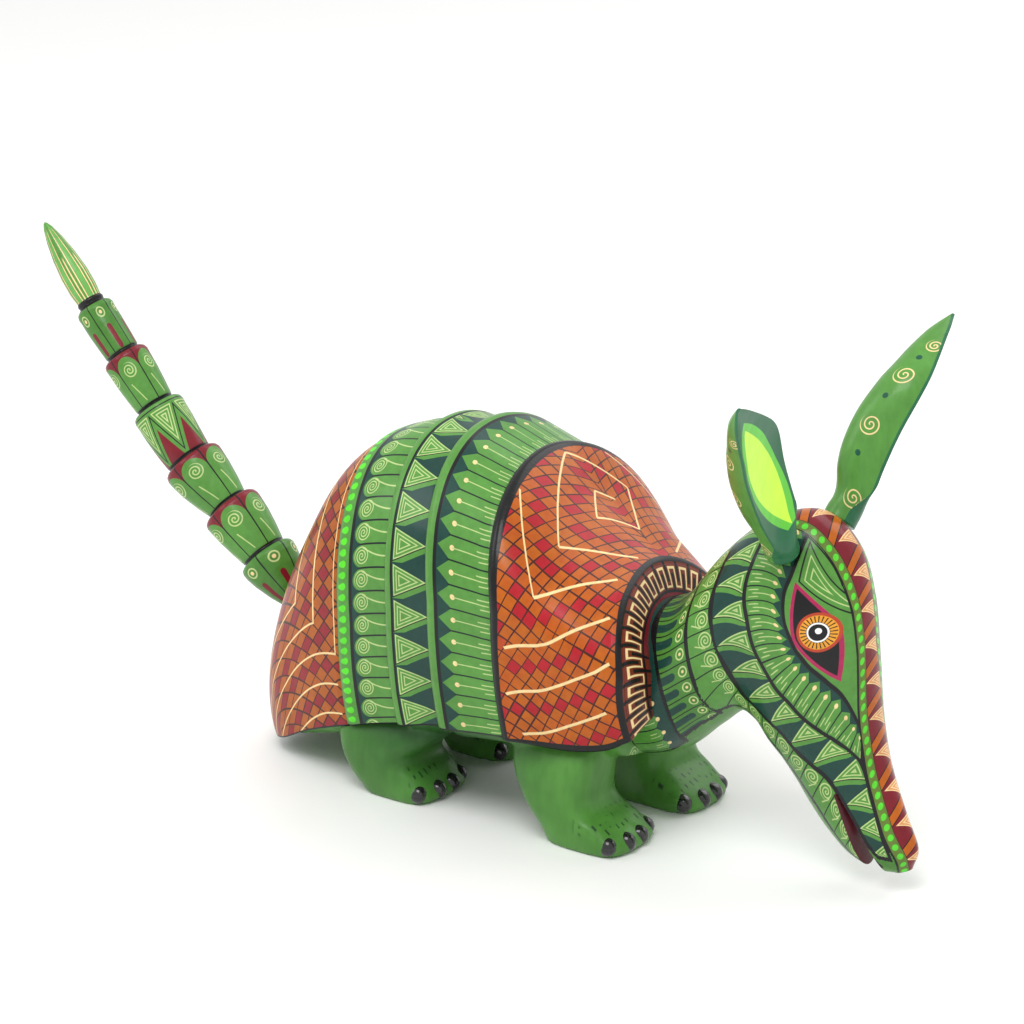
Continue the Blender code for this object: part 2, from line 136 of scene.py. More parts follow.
class Paint:
    """A painted finish built up from nodes, in millimetres on the surface."""

    def __init__(self, name):
        self.material = bpy.data.materials.new(name)
        self.material.use_nodes = True
        self.nodes = self.material.node_tree.nodes
        self.links = self.material.node_tree.links
        self.nodes.clear()
        self.colour = None
        self.relief = None
        self.place = self.nodes.new("ShaderNodeTexCoord").outputs["Object"]

    def add(self, kind, inputs=(), **settings):
        """A node with its settings made, and each input set to a value or linked to an output."""
        node = self.nodes.new("ShaderNode" + kind)
        for name, value in settings.items():
            setattr(node, name, value)
        for place, value in dict(inputs).items():
            if isinstance(value, Number):
                value = value.socket
            if isinstance(value, bpy.types.NodeSocket):
                self.links.new(value, node.inputs[place])
            else:
                node.inputs[place].default_value = value
        return node

    def math(self, operation, *values, clamp=False):
        node = self.add("Math", enumerate(values), operation=operation, use_clamp=clamp)
        return Number(self, node.outputs[0])

    def noise(self, scale, detail=2.0, stretch=None):
        place = self.place
        if stretch is not None:
            place = self.add("Mapping", {"Vector": place, "Scale": stretch}).outputs["Vector"]
        return self.add("TexNoise", {"Vector": place, "Scale": scale, "Detail": detail})

    def cloud(self, scale, detail=2.0, stretch=None):
        return Number(self, self.noise(scale, detail, stretch).outputs[0])

    def position(self):
        """The place on the object itself, in millimetres."""
        split = self.add("SeparateXYZ", {0: self.place})
        return [Number(self, out) * MILLIMETRES for out in split.outputs]

    def attribute(self, name, wobble=0.22):
        """A surface coordinate in millimetres, made a little unsteady as a hand is."""
        vector = self.add("Attribute", attribute_name=name).outputs["Vector"]
        if wobble:
            shake = self.noise(WOBBLE_SCALE, 1.0).outputs["Color"]
            inputs = {0: shake, 1: (wobble * 2.0, wobble * 2.0, 0.0), 2: vector}
            vector = self.add("VectorMath", inputs, operation="MULTIPLY_ADD").outputs["Vector"]
        split = self.add("SeparateXYZ", {0: vector})
        return [Number(self, out) for out in split.outputs]

    def ground(self, colour):
        self.colour = colour

    def lay(self, colour, mask, raised=0.0):
        """Paints a colour over what is there, where the mask is 1."""
        mix = self.add("Mix", {"Factor": mask}, data_type="RGBA")
        for name, value in (("A", self.colour), ("B", colour)):
            socket = [s for s in mix.inputs if s.name == name and s.type == "RGBA"][0]
            if isinstance(value, tuple):
                socket.default_value = (*value, 1.0)
            else:
                self.links.new(value, socket)
        self.colour = [s for s in mix.outputs if s.type == "RGBA"][0]
        if raised:
            layer = mask * raised
            self.relief = layer if self.relief is None else self.relief + layer

    def fill(self, colour, distance, raised=0.0, soft=SOFT_EDGE):
        """Paints a colour wherever a distance is below zero."""
        self.lay(colour, inside(distance, soft), raised)

    def finish(self, roughness=0.36, streak=(1.0, 1.0, 1.0), mottle=0.22, brush=0.00010, coat=0.18):
        """Brush marks, uneven colour and gloss, then the shader itself."""
        marks = self.cloud(420.0, 3.0, streak)
        cloud = self.cloud(38.0, 3.0)
        shade = self.add("MapRange", {"Value": marks * 0.5 + cloud * 0.5, "From Min": 0.25, "From Max": 0.75,
                                      "To Min": 1.0 - mottle, "To Max": 1.0 + mottle})
        scaled = self.add("VectorMath", {0: self.colour, "Scale": shade.outputs[0]}, operation="SCALE")
        gloss = self.add("MapRange", {"Value": cloud, "To Min": roughness - 0.12, "To Max": roughness + 0.14})
        height = marks * brush
        if self.relief is not None:
            height = height + self.relief * PAINT_HEIGHT
        bump = self.add("Bump", {"Height": height, "Strength": 0.6, "Distance": 1.0})
        shader = self.add("BsdfPrincipled", {
            "Base Color": scaled.outputs["Vector"], "Roughness": gloss.outputs[0], "Normal": bump.outputs[0],
            "Coat Weight": coat, "Coat Roughness": 0.12, "Specular IOR Level": 0.22})
        self.add("OutputMaterial", {0: shader.outputs[0]})
        return self.material


# distances and masks: a distance is below zero inside a mark, and a mask is 1 there
def least(first, *others):
    for other in others:
        first = first.math("MINIMUM", other)
    return first


def most(first, *others):
    for other in others:
        first = first.math("MAXIMUM", other)
    return first


def inside(distance, soft=SOFT_EDGE):
    """1 where the distance is below zero and 0 above, with a soft edge."""
    return distance.math("MULTIPLY_ADD", -1.0 / soft, 0.5, clamp=True)


def line(distance, width, soft=SOFT_EDGE):
    """1 within half a width of where the distance is zero."""
    return inside(abs(distance) - width * 0.5, soft)


def far(x, y):
    return (x * x + y * y).math("SQRT")


# motifs: each takes a place in its own cell, in millimetres
def repeat(value, pitch, start=0.0):
    """The place in the cell, measured from its middle."""
    turns = value.math("MULTIPLY_ADD", 1.0 / pitch, -start / pitch)
    return (turns.fract() - 0.5) * pitch


def spiral(x, y, radius, turns, width):
    reach = far(x, y)
    angle = y.math("ARCTAN2", x) / (2.0 * math.pi)
    gap = radius / turns
    arm = (reach / gap - angle).fract() - 0.5
    return inside(abs(arm) * gap - width * 0.5, 0.12) * inside(reach - radius)


def circle(x, y, radius, width):
    return line(far(x, y) - radius, width)


def dot(x, y, radius):
    return inside(far(x, y) - radius)


def wedge(x, y, length, half):
    """How deep inside a triangle: its base at x 0, its point at x = length."""
    lean = 1.0 / math.hypot(1.0, half / length)
    return least(x, (half - x * (half / length) - abs(y)) * lean)


def nested(depth, pitch, width, count):
    """Outlines one inside the other, from a depth."""
    place = (depth / pitch).fract() - 0.25
    lines = inside(abs(place) * pitch - width * 0.5, 0.12)
    return lines * inside(-depth) * inside(depth - pitch * count)


def stroke(x, y, start, end, width):
    """A straight line from one place to another."""
    run = Vector((end[0] - start[0], end[1] - start[1]))
    length = run.length
    run.normalize()
    dx = x - start[0]
    dy = y - start[1]
    along = dx * run.x + dy * run.y
    across = dx * run.y - dy * run.x
    return inside(most(abs(across) - width * 0.5, -along, along - length))


# ---------------------------------------------------------------- surfaces
def curve_through(rows, count):
    """Evenly spaced rows on a smooth curve through the given ones."""
    rows = np.array(rows, float)
    padded = np.vstack((2 * rows[0] - rows[1], rows, 2 * rows[-1] - rows[-2]))
    places = np.linspace(0, len(rows) - 1, count)
    first = np.minimum(places.astype(int), len(rows) - 2)
    t = (places - first)[:, None]
    a, b, c, d = (padded[first + k] for k in range(4))
    cubic = (3 * b - a - 3 * c + d) * t**3
    return 0.5 * (2 * b + (c - a) * t + (2 * a - 5 * b + 4 * c - d) * t**2 + cubic)


def columns(*values):
    """Points or rows of values side by side; a single number stands for a whole column of it."""
    return np.stack(np.broadcast_arrays(*values), axis=-1)


def full_turn(count):
    return np.linspace(0, 2 * math.pi, count, endpoint=False)


def run_along(points):
    """The length of a line of points up to each of them."""
    return np.concatenate(([0.0], np.cumsum(np.linalg.norm(np.diff(points, axis=0), axis=1))))


def read(items, key, width, kind=float):
    """One value of every vertex, corner or face of a mesh."""
    values = np.empty(len(items) * width, kind)
    items.foreach_get(key, values)
    return values.reshape(-1, width) if width > 1 else values


def new_object(name, vertices, faces, smooth=True):
    mesh = bpy.data.meshes.new(name)
    mesh.from_pydata([tuple(v) for v in vertices], [], faces)
    mesh.update()
    obj = bpy.data.objects.new(name, mesh)
    bpy.context.scene.collection.objects.link(obj)
    mesh.polygons.foreach_set("use_smooth", [smooth] * len(mesh.polygons))
    return obj


def grid_faces(rows, columns, closed):
    """Faces of a grid of points, closed round each row or open."""
    faces = []
    spans = columns if closed else columns - 1
    for row in range(rows - 1):
        for column in range(spans):
            near = (column + 1) % columns
            a = row * columns
            b = a + columns
            faces.append((a + column, a + near, b + near, b + column))
    return faces


def set_vectors(obj, name, values):
    layer = obj.data.attributes.new(name, "FLOAT_VECTOR", "POINT")
    layer.data.foreach_set("vector", np.asarray(values, np.float32).ravel())


def vertex_places(obj):
    return read(obj.data.vertices, "co", 3)


def face_means(obj, values):
    """The mean of a vertex value over each face."""
    return np.array([values[list(p.vertices)].mean(axis=0) for p in obj.data.polygons])


def outward(obj):
    """Turns every face of a closed solid to face outwards."""
    work = bmesh.new()
    work.from_mesh(obj.data)
    bmesh.ops.recalc_face_normals(work, faces=work.faces)
    work.to_mesh(obj.data)
    work.free()


def carry(old_places, old_values, new_places):
    """Each new place takes the values of the nearest old one."""
    tree = kdtree.KDTree(len(old_places))
    for index, place in enumerate(old_places):
        tree.insert(place, index)
    tree.balance()
    nearest = [tree.find(place)[1] for place in new_places]
    return old_values[nearest]


def apply_modifiers(obj):
    graph = bpy.context.evaluated_depsgraph_get()
    mesh = bpy.data.meshes.new_from_object(obj.evaluated_get(graph))
    old = obj.data
    obj.modifiers.clear()
    obj.data = mesh
    bpy.data.meshes.remove(old)


def cut(obj, cutters):
    """Takes the cutters out of the object, and leaves their material on the cut."""
    for cutter in cutters:
        modifier = obj.modifiers.new("cut", "BOOLEAN")
        modifier.operation = "DIFFERENCE"
        modifier.solver = "EXACT"
        modifier.material_mode = "TRANSFER"
        modifier.object = cutter
    apply_modifiers(obj)
    for cutter in cutters:
        bpy.data.objects.remove(cutter)


def smooth_shading(obj, smooth=True):
    obj.data.polygons.foreach_set("use_smooth", [smooth] * len(obj.data.polygons))


def rod(name, start, axis, length, radius, material, sides=48):
    """A plain round bar, used only to cut with."""
    axis = Vector(axis).normalized()
    side = axis.orthogonal().normalized()
    other = axis.cross(side)
    points = []
    for reach in (0.0, length):
        for step in range(sides):
            turn = 2 * math.pi * step / sides
            spoke = side * (radius * math.cos(turn)) + other * (radius * math.sin(turn))
            points.append(Vector(start) + axis * reach + spoke)
    faces = [(k, (k + 1) % sides, (k + 1) % sides + sides, k + sides) for k in range(sides)]
    faces.append(tuple(reversed(range(sides))))
    faces.append(tuple(range(sides, 2 * sides)))
    obj = new_object(name, points, faces, False)
    outward(obj)
    obj.data.materials.append(material)
    return obj


# ---------------------------------------------------------------- finishes of bare parts
def plain_green(name):
    paint = Paint(name)
    paint.ground(GREEN)
    paint.fill(LEAF, 0.52 - paint.cloud(55.0), soft=0.25)
    return paint


# where the toes end along the body, and how high the foot's top is
FRONT_TOE_X, REAR_TOE_X, FOOT_TOP = 74.8, 0.0, 9.4
legs_green = plain_green("leg_green")
x, y, z = legs_green.position()
dash = most(abs(repeat(x, 3.4)) - 0.9, abs(repeat(y, 2.7)) - 0.36)
# painted shade: the green turns darker higher up and towards the middle of the body, on the belly and the tops of
# the legs under the shell
legs_green.lay((0.020, 0.085, 0.016), inside(abs(x - CENTRE_X) - 34.0, 40.0) * inside(12.0 - z, 26.0))
scatter = legs_green.cloud(240.0, 1.0)
front_toes = FRONT_TOE_X + CENTRE_X
rear_toes = REAR_TOE_X + CENTRE_X
on_foot = least(abs(x - (front_toes - 9.5)), abs(x - (rear_toes - 9.5))) - 6.0
on_foot = inside(on_foot, 2.0) * inside(abs(z - FOOT_TOP) - 2.6, 1.5)
on_foot = on_foot * inside(0.47 - scatter, 0.04)
legs_green.lay((0.012, 0.045, 0.014), inside(dash, 0.4) * on_foot, 0.4)
CHEST_Y, CHEST_Z, CHEST_FRONT = 15.4, 29.6, 80.0
legs_green.lay(PALE, spiral(abs(y) - CHEST_Y, z - CHEST_Z, 2.5, 2.0, 0.42) * inside(CHEST_FRONT - x), 1.0)
leg_paint = legs_green.finish(0.40, (1.0, 1.0, 0.25), 0.20, 0.00016)

claw = Paint("claw_black")
claw.ground((0.012, 0.012, 0.012))
claw.fill((0.035, 0.038, 0.034), 0.60 - claw.cloud(300.0), soft=0.1)
claw_paint = claw.finish(0.20, coat=0.8)

bare = Paint("bare_wood")
bare.ground(WOOD)
grain = bare.cloud(260.0, 4.0, (0.2, 1.0, 1.0))
bare.fill((0.300, 0.165, 0.075), 0.5 - grain, soft=0.3)
wood_paint = bare.finish(0.62, (0.2, 1.0, 1.0), 0.25, 0.0002, 0.0)

throat = Paint("mouth_maroon")
throat.ground(MAROON)
throat.fill((0.120, 0.010, 0.020), 0.5 - throat.cloud(90.0), soft=0.3)
mouth_paint = throat.finish(0.34)

# ---------------------------------------------------------------- shell
# x, half width, waist, rim, belly, shoulder power, lean-back of the top
SHELL = (
    (-79.0, 1.0, 7.0, 5.5, 5.0, 1.00, 0.0),
    (-78.0, 13.0, 10.0, 4.8, 4.3, 1.00, 0.0),
    (-74.5, 22.0, 19.0, 4.6, 4.1, 1.00, 0.0),
    (-67.0, 29.0, 33.0, 7.0, 5.0, 1.00, 0.5),
    (-56.0, 33.5, 46.0, 13.0, 7.0, 0.95, 2.0),
    (-44.0, 37.0, 54.0, 18.5, 10.0, 0.86, 4.5),
    (-26.0, 40.0, 61.0, 25.0, 15.0, 0.84, 7.0),
    (-7.5, 41.2, 69.0, 30.0, 20.0, 0.92, 8.5),
    (9.0, 43.0, 77.0, 33.5, 23.0, 0.95, 10.5),
    (36.0, 43.6, 80.0, 35.5, 25.0, 1.08, 12.5),
    (54.0, 40.5, 72.0, 35.0, 25.5, 1.22, 12.5),
    (67.0, 37.0, 66.0, 37.0, 27.0, 1.28, 12.5),
    (74.0, 34.0, 62.0, 41.0, 33.0, 1.15, 12.0),
    (76.5, 30.0, 61.0, 45.0, 39.0, 1.10, 11.5),
    (77.0, 20.0, 59.0, 48.0, 45.0, 1.00, 8.0),
)
# the shell's top seen from the side: x, height
TOP_LINE = (
    (-79.0, 9.0), (-78.0, 19.0), (-74.5, 40.0), (-67.0, 68.0), (-56.0, 91.0), (-44.5, 106.5),
    (-28.0, 116.5), (-11.0, 119.6), (2.0, 121.0), (23.5, 116.8), (41.5, 102.0), (54.5, 92.5),
    (62.0, 88.0), (65.0, 84.0), (69.0, 74.0),
)
LEAN_POWER = 1.4
RIM_ANGLE = math.radians(120)
# each lip: where it starts, how high it stands, how far it takes to fall again
LIPS = ((-31.2, 0.8, 8.0), (-8.8, 2.9, 14.0), (9.4, 3.1, 18.0), (34.2, 2.2, 13.0))
LIP_RISE = 2.0
# the far flank of the front shield is carved a little flatter than the near one
FAR_FLANK = 0.14
SHELL_ROUND = 300
STRIP_START, BAND_TWO, BAND_THREE, FRONT_SHIELD = -31.0, -8.9, 9.4, 34.0
HOOD_EDGE = 74.2

shell_fine = curve_through(SHELL, 1500)
top_fine = curve_through(TOP_LINE, 1500)


def squared(values, power):
    """Sines or cosines bent towards a square outline, with their signs kept."""
    return np.sign(values) * np.abs(values) ** power


def shell_row(x):
    return [np.interp(x, shell_fine[:, 0], shell_fine[:, k]) for k in range(1, 7)]


def lip_height(x):
    """How far the bands' lips stand out at x."""
    height = 0.0
    for start, rise, fall in LIPS:
        up = np.clip((x - start) / LIP_RISE, 0.0, 1.0)
        down = np.clip((x - start - LIP_RISE) / fall, 0.0, 1.0)
        step = up * up * (3.0 - 2.0 * up)
        groove = -0.45 * np.exp(-(((x - start + 0.5) / 0.7) ** 2))
        height = height + rise * step * (1.0 - down) ** 1.3 + groove
    return height


def shell_point(x, angle, inset=0.0):
    """A point of the shell, in millimetres, at a station and an angle from the top."""
    half, waist, rim, _, power, lean = shell_row(x)
    raised = lip_height(x) - inset
    sine = np.sin(angle)
    cosine = np.cos(angle)
    upward = np.maximum(cosine, 0.0)
    top = np.interp(x - lean, top_fine[:, 0], top_fine[:, 1])
    y = (half + raised) * squared(sine, power)
    fuller = np.clip((x - 30.0) / 25.0, 0.0, 1.0) * FAR_FLANK
    y = np.where(y > 0, y * (1.0 - fuller * np.abs(sine)), y)
    above = waist + (top + raised - waist) * cosine
    below = waist + (waist - rim) / 0.5 * cosine
    z = np.where(cosine >= 0, above, below)
    return columns(x - lean * upward**LEAN_POWER + CENTRE_X, y, z)


def even_ring(x, count, inset=0.0):
    """Angles evenly spaced along the ring, with the length from the top."""
    angles = np.linspace(-RIM_ANGLE, RIM_ANGLE, 801)
    points = shell_point(np.full(801, x), angles, inset)
    length = run_along(points)
    middle = length[400]
    wanted = np.linspace(0.0, length[-1], count)
    return np.interp(wanted, length, angles), wanted - middle, length[-1]


shell_stations = np.concatenate((
    np.linspace(-78.9, -76.0, 16)[:-1], np.linspace(-76.0, -32.4, 56)[:-1], np.linspace(-32.4, -28.6, 14)[:-1],
    np.linspace(-28.6, -10.4, 24)[:-1], np.linspace(-10.4, -5.8, 18)[:-1], np.linspace(-5.8, 8.0, 18)[:-1],
    np.linspace(8.0, 12.6, 18)[:-1], np.linspace(12.6, 33.0, 26)[:-1], np.linspace(33.0, 38.0, 20)[:-1],
    np.linspace(38.0, 72.8, 44)[:-1], np.linspace(72.8, 75.4, 16)[:-1], np.linspace(75.4, 77.0, 22),
))
# where a band's cells are laid out: each is measured at the middle of its band
BAND_MIDDLES = ((-60.0, -20.0), (-8.9, 0.5), (9.4, 22.0))
shell_vertices = []
shell_rings = {"paint": [], "hood": [], "band": []}
hood_run = np.zeros(SHELL_ROUND)
last_points = None
for x in shell_stations:
    angles, around, girth = even_ring(x, SHELL_ROUND)
    points = shell_point(np.full(SHELL_ROUND, x), angles)
    edge = np.clip((x - (HOOD_EDGE - 1.4)) / 1.4, 0.0, 1.0) * np.clip((HOOD_EDGE + 1.0 - x) / 1.0, 0.0, 1.0)
    points[:, 0] += edge * 0.5
    if last_points is not None and x > HOOD_EDGE:
        hood_run = hood_run + np.linalg.norm(points - last_points, axis=1)
    if x <= HOOD_EDGE:
        last_around = around
    last_points = points
    shell_vertices.append(points)
    over_rim = girth * 0.5 - np.abs(around)
    shell_rings["paint"].append(columns(x, around, over_rim))
    shell_rings["hood"].append(columns(last_around, hood_run, around))
    middle = [place for start, place in BAND_MIDDLES if x >= start or start == BAND_MIDDLES[0][0]][-1]
    even = around * (even_ring(middle, SHELL_ROUND)[2] / girth)
    shell_rings["band"].append(columns(x, even, over_rim))
shell_faces = grid_faces(len(shell_stations), SHELL_ROUND, False)
shell = new_object("shell", np.concatenate(shell_vertices) * MM, shell_faces)
for name, values in shell_rings.items():
    set_vectors(shell, name, np.concatenate(values))


# width of the black line along the rim
RIM_LINE = 0.6


def shell_paint(name, coordinates, colour):
    """A paint with x along the shell, the way around from the ridge, the way down from it, and over the rim."""
    paint = Paint(name)
    paint.ground(colour)
    x, around, edge = paint.attribute(coordinates)
    return paint, x, around, -abs(around), edge


def lattice(paint, x, q, slope, row_pitch, column_lean, column_pitch, tier, red):
    """Diamond cells in two colours with thin dark lines; tier says which rows are red."""
    a = (x + q * column_lean) / column_pitch
    b = (q - x * slope) / row_pitch
    first = a + b
    second = a - b
    row = (first.floor() - second.floor()) * 0.5
    column = (first.floor() + second.floor() + 1.0) * 0.5
    paint.lay(red, tier(row * row_pitch, column * column_pitch))
    lines = most(abs(first.fract() - 0.5), abs(second.fract() - 0.5))
    thick = paint.cloud(60.0)
    paint.fill((0.05, 0.012, 0.008), 0.493 - thick * 0.10 - lines, 0.6, soft=0.03)


# front shield
front, x, around, side, edge = shell_paint("front_shield", "paint", ORANGE)
front.fill((0.420, 0.080, 0.004), 0.5 - front.cloud(140.0), soft=0.2)
FRONT_SLOPE, FRONT_ROW, FRONT_LEAN, FRONT_COLUMN = 1.34, 6.0, 0.20, 6.47


def front_tier(w, s):
    """Red cells midway between the cream chevrons."""
    cell_x = (s - w * FRONT_LEAN) * (1.0 / (1.0 + FRONT_LEAN * FRONT_SLOPE))
    cell_q = w + cell_x * FRONT_SLOPE
    tier = least((cell_x + cell_q * 0.41 - 28.0) / 13.0, (w + 113.0) / 15.0)
    return inside(abs(tier.fract() - 0.5) - 0.13, 0.01)


mirrored = 8.0 - abs(around - 8.0)
lattice(front, x, mirrored, FRONT_SLOPE, FRONT_ROW, FRONT_LEAN, FRONT_COLUMN, front_tier, RED)
STROKE = 0.62
strokes = stroke(x, side, (37.8, -24.2), (48.1, -49.1), STROKE)
for start, end in (((48.1, -49.1), (71.0, -16.8)), ((39.0, -75.8), (72.0, -31.2)), ((38.6, -92.4), (72.4, -45.0)),
                   ((42.0, -103.2), (71.0, -62.0))):
    strokes = most(strokes, stroke(x, side, start, end, STROKE))
coil = ((72.0, -3.2), (52.3, -26.0), (39.0, 3.1), (47.7, 22.5), (63.2, 9.2), (56.3, -3.9), (49.7, 4.0),
        (52.6, 10.5))
for start, end in zip(coil, coil[1:]):
    strokes = most(strokes, stroke(x, around, start, end, STROKE))
front.lay(CREAM, strokes, 1.0)
front.fill(BLACK, x - 37.2 - (side + 60.0) * 0.008, 0.6)
front.lay(VIVID, line(x - 35.2 + side * 0.004, 0.40) * inside(side + 35.0, 8.0))
front.fill(BLACK, HOOD_EDGE - 0.35 - x, 0.8)
front.fill(BLACK, edge - RIM_LINE, 1.0)
front_paint = front.finish(0.30, coat=0.12)

# rear shield
rear, x, _, side, edge = shell_paint("rear_shield", "paint", (0.370, 0.088, 0.008))
REAR_SLOPE, REAR_ROW, REAR_LEAN, REAR_COLUMN = -0.55, 6.2, 0.02, 6.0


def rear_tier(w, s):
    """Red cells midway between the cream strokes of the rear shield."""
    cell_x = (s - w * REAR_LEAN) * (1.0 / (1.0 + REAR_LEAN * REAR_SLOPE))
    tier = least((-cell_x - 43.0) / 10.0, (w + 90.0) / 11.0)
    return inside(abs(tier.fract() - 0.5) - 0.17, 0.01)


lattice(rear, x, side, REAR_SLOPE, REAR_ROW, REAR_LEAN, REAR_COLUMN, rear_tier, (0.250, 0.012, 0.020))
tier = least((-x - 43.0) * 0.1, (side - x * REAR_SLOPE + 90.0) / 11.0)
chevrons = inside(abs((tier + 0.5).fract() - 0.5) - 0.032, 0.012)
rear.lay(CREAM, chevrons * inside(x + 33.0), 1.0)
rear.fill(BLACK, -31.6 - x, 0.5)
rear.fill(BLACK, edge - RIM_LINE, 1.0)
rear_paint = rear.finish(0.32, coat=0.12)

# dotted strip and first band
one, x, _, side, edge = shell_paint("first_band", "band", TEAL)
y = repeat(side, 7.43, -20.6)
corner = most(-20.4 - x, 0.0)
round_end = 3.42 - far(corner, y)
one.fill(LEAF, -least(round_end, x + 24.0))
one.lay(BLACK, line(abs(y) - 3.72, 0.55) * inside(-21.5 - x, 2.0), 0.6)
one.lay(PALE, spiral(x + 20.1, y, 3.05, 3.0, 0.36), 1.0)
fall = 1.0 - x.math("MULTIPLY_ADD", 1.0 / 9.5, 19.8 / 9.5, clamp=True)
tail_line = abs(y - fall * fall * 2.85 + 0.2) - 0.24
one.fill(PALE, most(tail_line, -19.8 - x), 1.0)
one.fill(BLACK, -9.9 - x, 0.6)
one.fill(BLACK, x + 24.3, 0.6)
one.fill((0.075, 0.260, 0.040), x + 25.6)
one.lay(VIVID, dot(x + 28.1, repeat(side, 3.6), 1.18), 1.5)
one.fill((0.050, 0.040, 0.020), x + 30.4)
one.fill(BLACK, edge - RIM_LINE, 1.0)
one_paint = one.finish(0.32)

# second band
two, x, _, side, edge = shell_paint("second_band", "band", TEAL)
y = repeat(side, 11.26, -13.13)
TRIANGLE, TRIANGLE_HALF, TRIANGLE_BASE = 13.0, 5.1, -4.9
depth = wedge(x - TRIANGLE_BASE, y, TRIANGLE, TRIANGLE_HALF)
lower = y + (TRIANGLE_HALF - (x - TRIANGLE_BASE) * (TRIANGLE_HALF / TRIANGLE))
two.fill(LEAF, abs(lower + 1.0) - 1.0)
two.fill(LEAF, -depth)
two.lay(BLACK, line(lower + 0.1, 0.42), 0.6)
two.lay(PALE, nested(depth, 1.05, 0.36, 3), 1.0)
two.fill(BLACK, x + 5.3, 0.6)
two.lay(LEAF, line(x + 6.7, 1.3), 0.6)
two.fill(BLACK, 9.0 - x, 0.6)
two.fill(BLACK, edge - RIM_LINE, 1.0)
two_paint = two.finish(0.32)

# third band
three, x, _, side, edge = shell_paint("third_band", "band", TEAL)
y = repeat(side, 7.41, -3.7)
shoulder = (18.6 - x) * 0.80
point = abs(y) + most(shoulder, 0.0)
three.fill(LEAF, point - 3.45)
three.lay(BLACK, line(abs(y) - 3.70, 0.42) * inside(18.0 - x, 1.0), 0.6)
three.lay(CREAM, dot(x - 19.5, y, 0.85), 1.4)
marks = most(stroke(x, y, (19.5, 0.0), (32.6, 0.1), 0.34), stroke(x, y, (28.6, 1.5), (33.2, 1.6), 0.36),
             stroke(x, y, (29.6, -1.5), (33.2, -1.4), 0.36))
three.lay(PALE, marks, 1.0)
three.fill(BLACK, 33.2 - x, 0.6)
three.fill(BLACK, x - 14.0, 0.6)
three.lay(LEAF, line(x - 11.9, 1.7), 0.6)
three.fill(BLACK, edge - RIM_LINE, 1.0)
three_paint = three.finish(0.32)

# hood
hood = Paint("hood_meander")
run, out, around = hood.attribute("hood", 0.12)
hood.ground(RUST)
MEANDER, MEANDER_LOW, MEANDER_HIGH = 6.0, 2.4, 8.2
cell = repeat(run, MEANDER)
half_cell = abs(repeat(run, MEANDER * 0.5, -MEANDER * 0.25))
right_half = inside(-cell, 0.01)
level = right_half * (MEANDER_HIGH - MEANDER_LOW) + MEANDER_LOW
upright = most(half_cell, abs(out - (MEANDER_LOW + MEANDER_HIGH) * 0.5) - (MEANDER_HIGH - MEANDER_LOW) * 0.5)
trace = least(abs(out - level), upright)
tooth_side = abs(abs(cell) - MEANDER * 0.25) - 0.62
tooth_low = most(tooth_side, out - 6.6)
tooth_high = most(tooth_side, 4.0 - out)
hood.lay(BLACK, most(inside(tooth_low) * right_half, inside(tooth_high) * (1.0 - right_half)), 0.5)
hood.fill(CREAM, trace - 0.34, 1.0)
hood.fill(BLACK, out - 0.35, 0.8)
hood.lay(BLACK, line(out - 9.6, 1.0), 0.8)
hood.lay(WINE, inside(10.1 - out) * inside(abs(around) - 26.0, 3.0))
hood_paint = hood.finish(0.30)

shell_slots = (rear_paint, one_paint, two_paint, three_paint, front_paint, hood_paint, wood_paint)
for material in shell_slots:
    shell.data.materials.append(material)
face_x = face_means(shell, np.concatenate(shell_rings["paint"]))[:, 0]
slots = np.zeros(len(face_x), int)
for border, slot in ((STRIP_START, 1), (BAND_TWO, 2), (BAND_THREE, 3), (FRONT_SHIELD, 4), (HOOD_EDGE, 5)):
    slots[face_x > border] = slot
shell.data.polygons.foreach_set("material_index", slots)

# the shell is a thick sheet whose edge shows under the rim
thick = shell.modifiers.new("thick", "SOLIDIFY")
thick.thickness = 0.0022
thick.offset = -1.0
thick.use_even_offset = False
apply_modifiers(shell)

# ---------------------------------------------------------------- belly, legs and feet
# height, rear x, front x, inner y, outer y
FRONT_LEG = (
    (52.0, 33.0, 62.0, 12.0, 26.0), (37.0, 31.0, 62.0, 11.0, 30.0), (30.0, 30.5, 62.5, 11.0, 34.5),
    (23.0, 32.5, 61.5, 10.5, 37.2),
    (16.0, 35.8, 60.6, 10.0, 37.5), (12.0, 38.0, 62.6, 9.6, 37.2), (9.2, 39.6, 67.4, 9.0, 36.8),
    (5.5, 41.8, 72.5, 8.2, 36.2),
    (2.5, 43.2, 74.8, 7.8, 35.6), (0.0, 44.2, 73.5, 8.5, 35.0),
)
REAR_LEG = (
    (52.0, -38.0, 0.0, 12.0, 27.0), (33.0, -39.0, 1.0, 11.0, 31.0), (25.0, -39.5, -0.5, 10.8, 35.5),
    (20.0, -38.8, -3.5, 10.5, 38.0),
    (16.0, -37.5, -8.0, 10.0, 39.0), (12.0, -36.2, -8.6, 9.7, 38.9), (9.2, -35.0, -5.4, 9.3, 38.7),
    (5.5, -33.0, -2.5, 8.8, 38.0),
    (2.5, -30.5, 0.0, 8.5, 37.2), (0.0, -28.6, -2.0, 9.0, 36.5),
)
LEG_SQUARENESS = 0.54
TOE_SHARES = (-1.0, -0.34, 0.34, 1.0)
TOE_SPREAD = 0.37
TOE_SPLAY = math.radians(18)
CORE_INSET = 2.6
# the carver left the far front leg a little deeper from front to rear
FAR_LEG_REARWARD = 5.0


def loft(rings):
    """A closed solid through rings of points, with flat ends."""
    count = len(rings[0])
    faces = grid_faces(len(rings), count, True)
    faces.append(tuple(range(count)))
    faces.append(tuple(reversed(range((len(rings) - 1) * count, len(rings) * count))))
    return np.concatenate(rings), faces


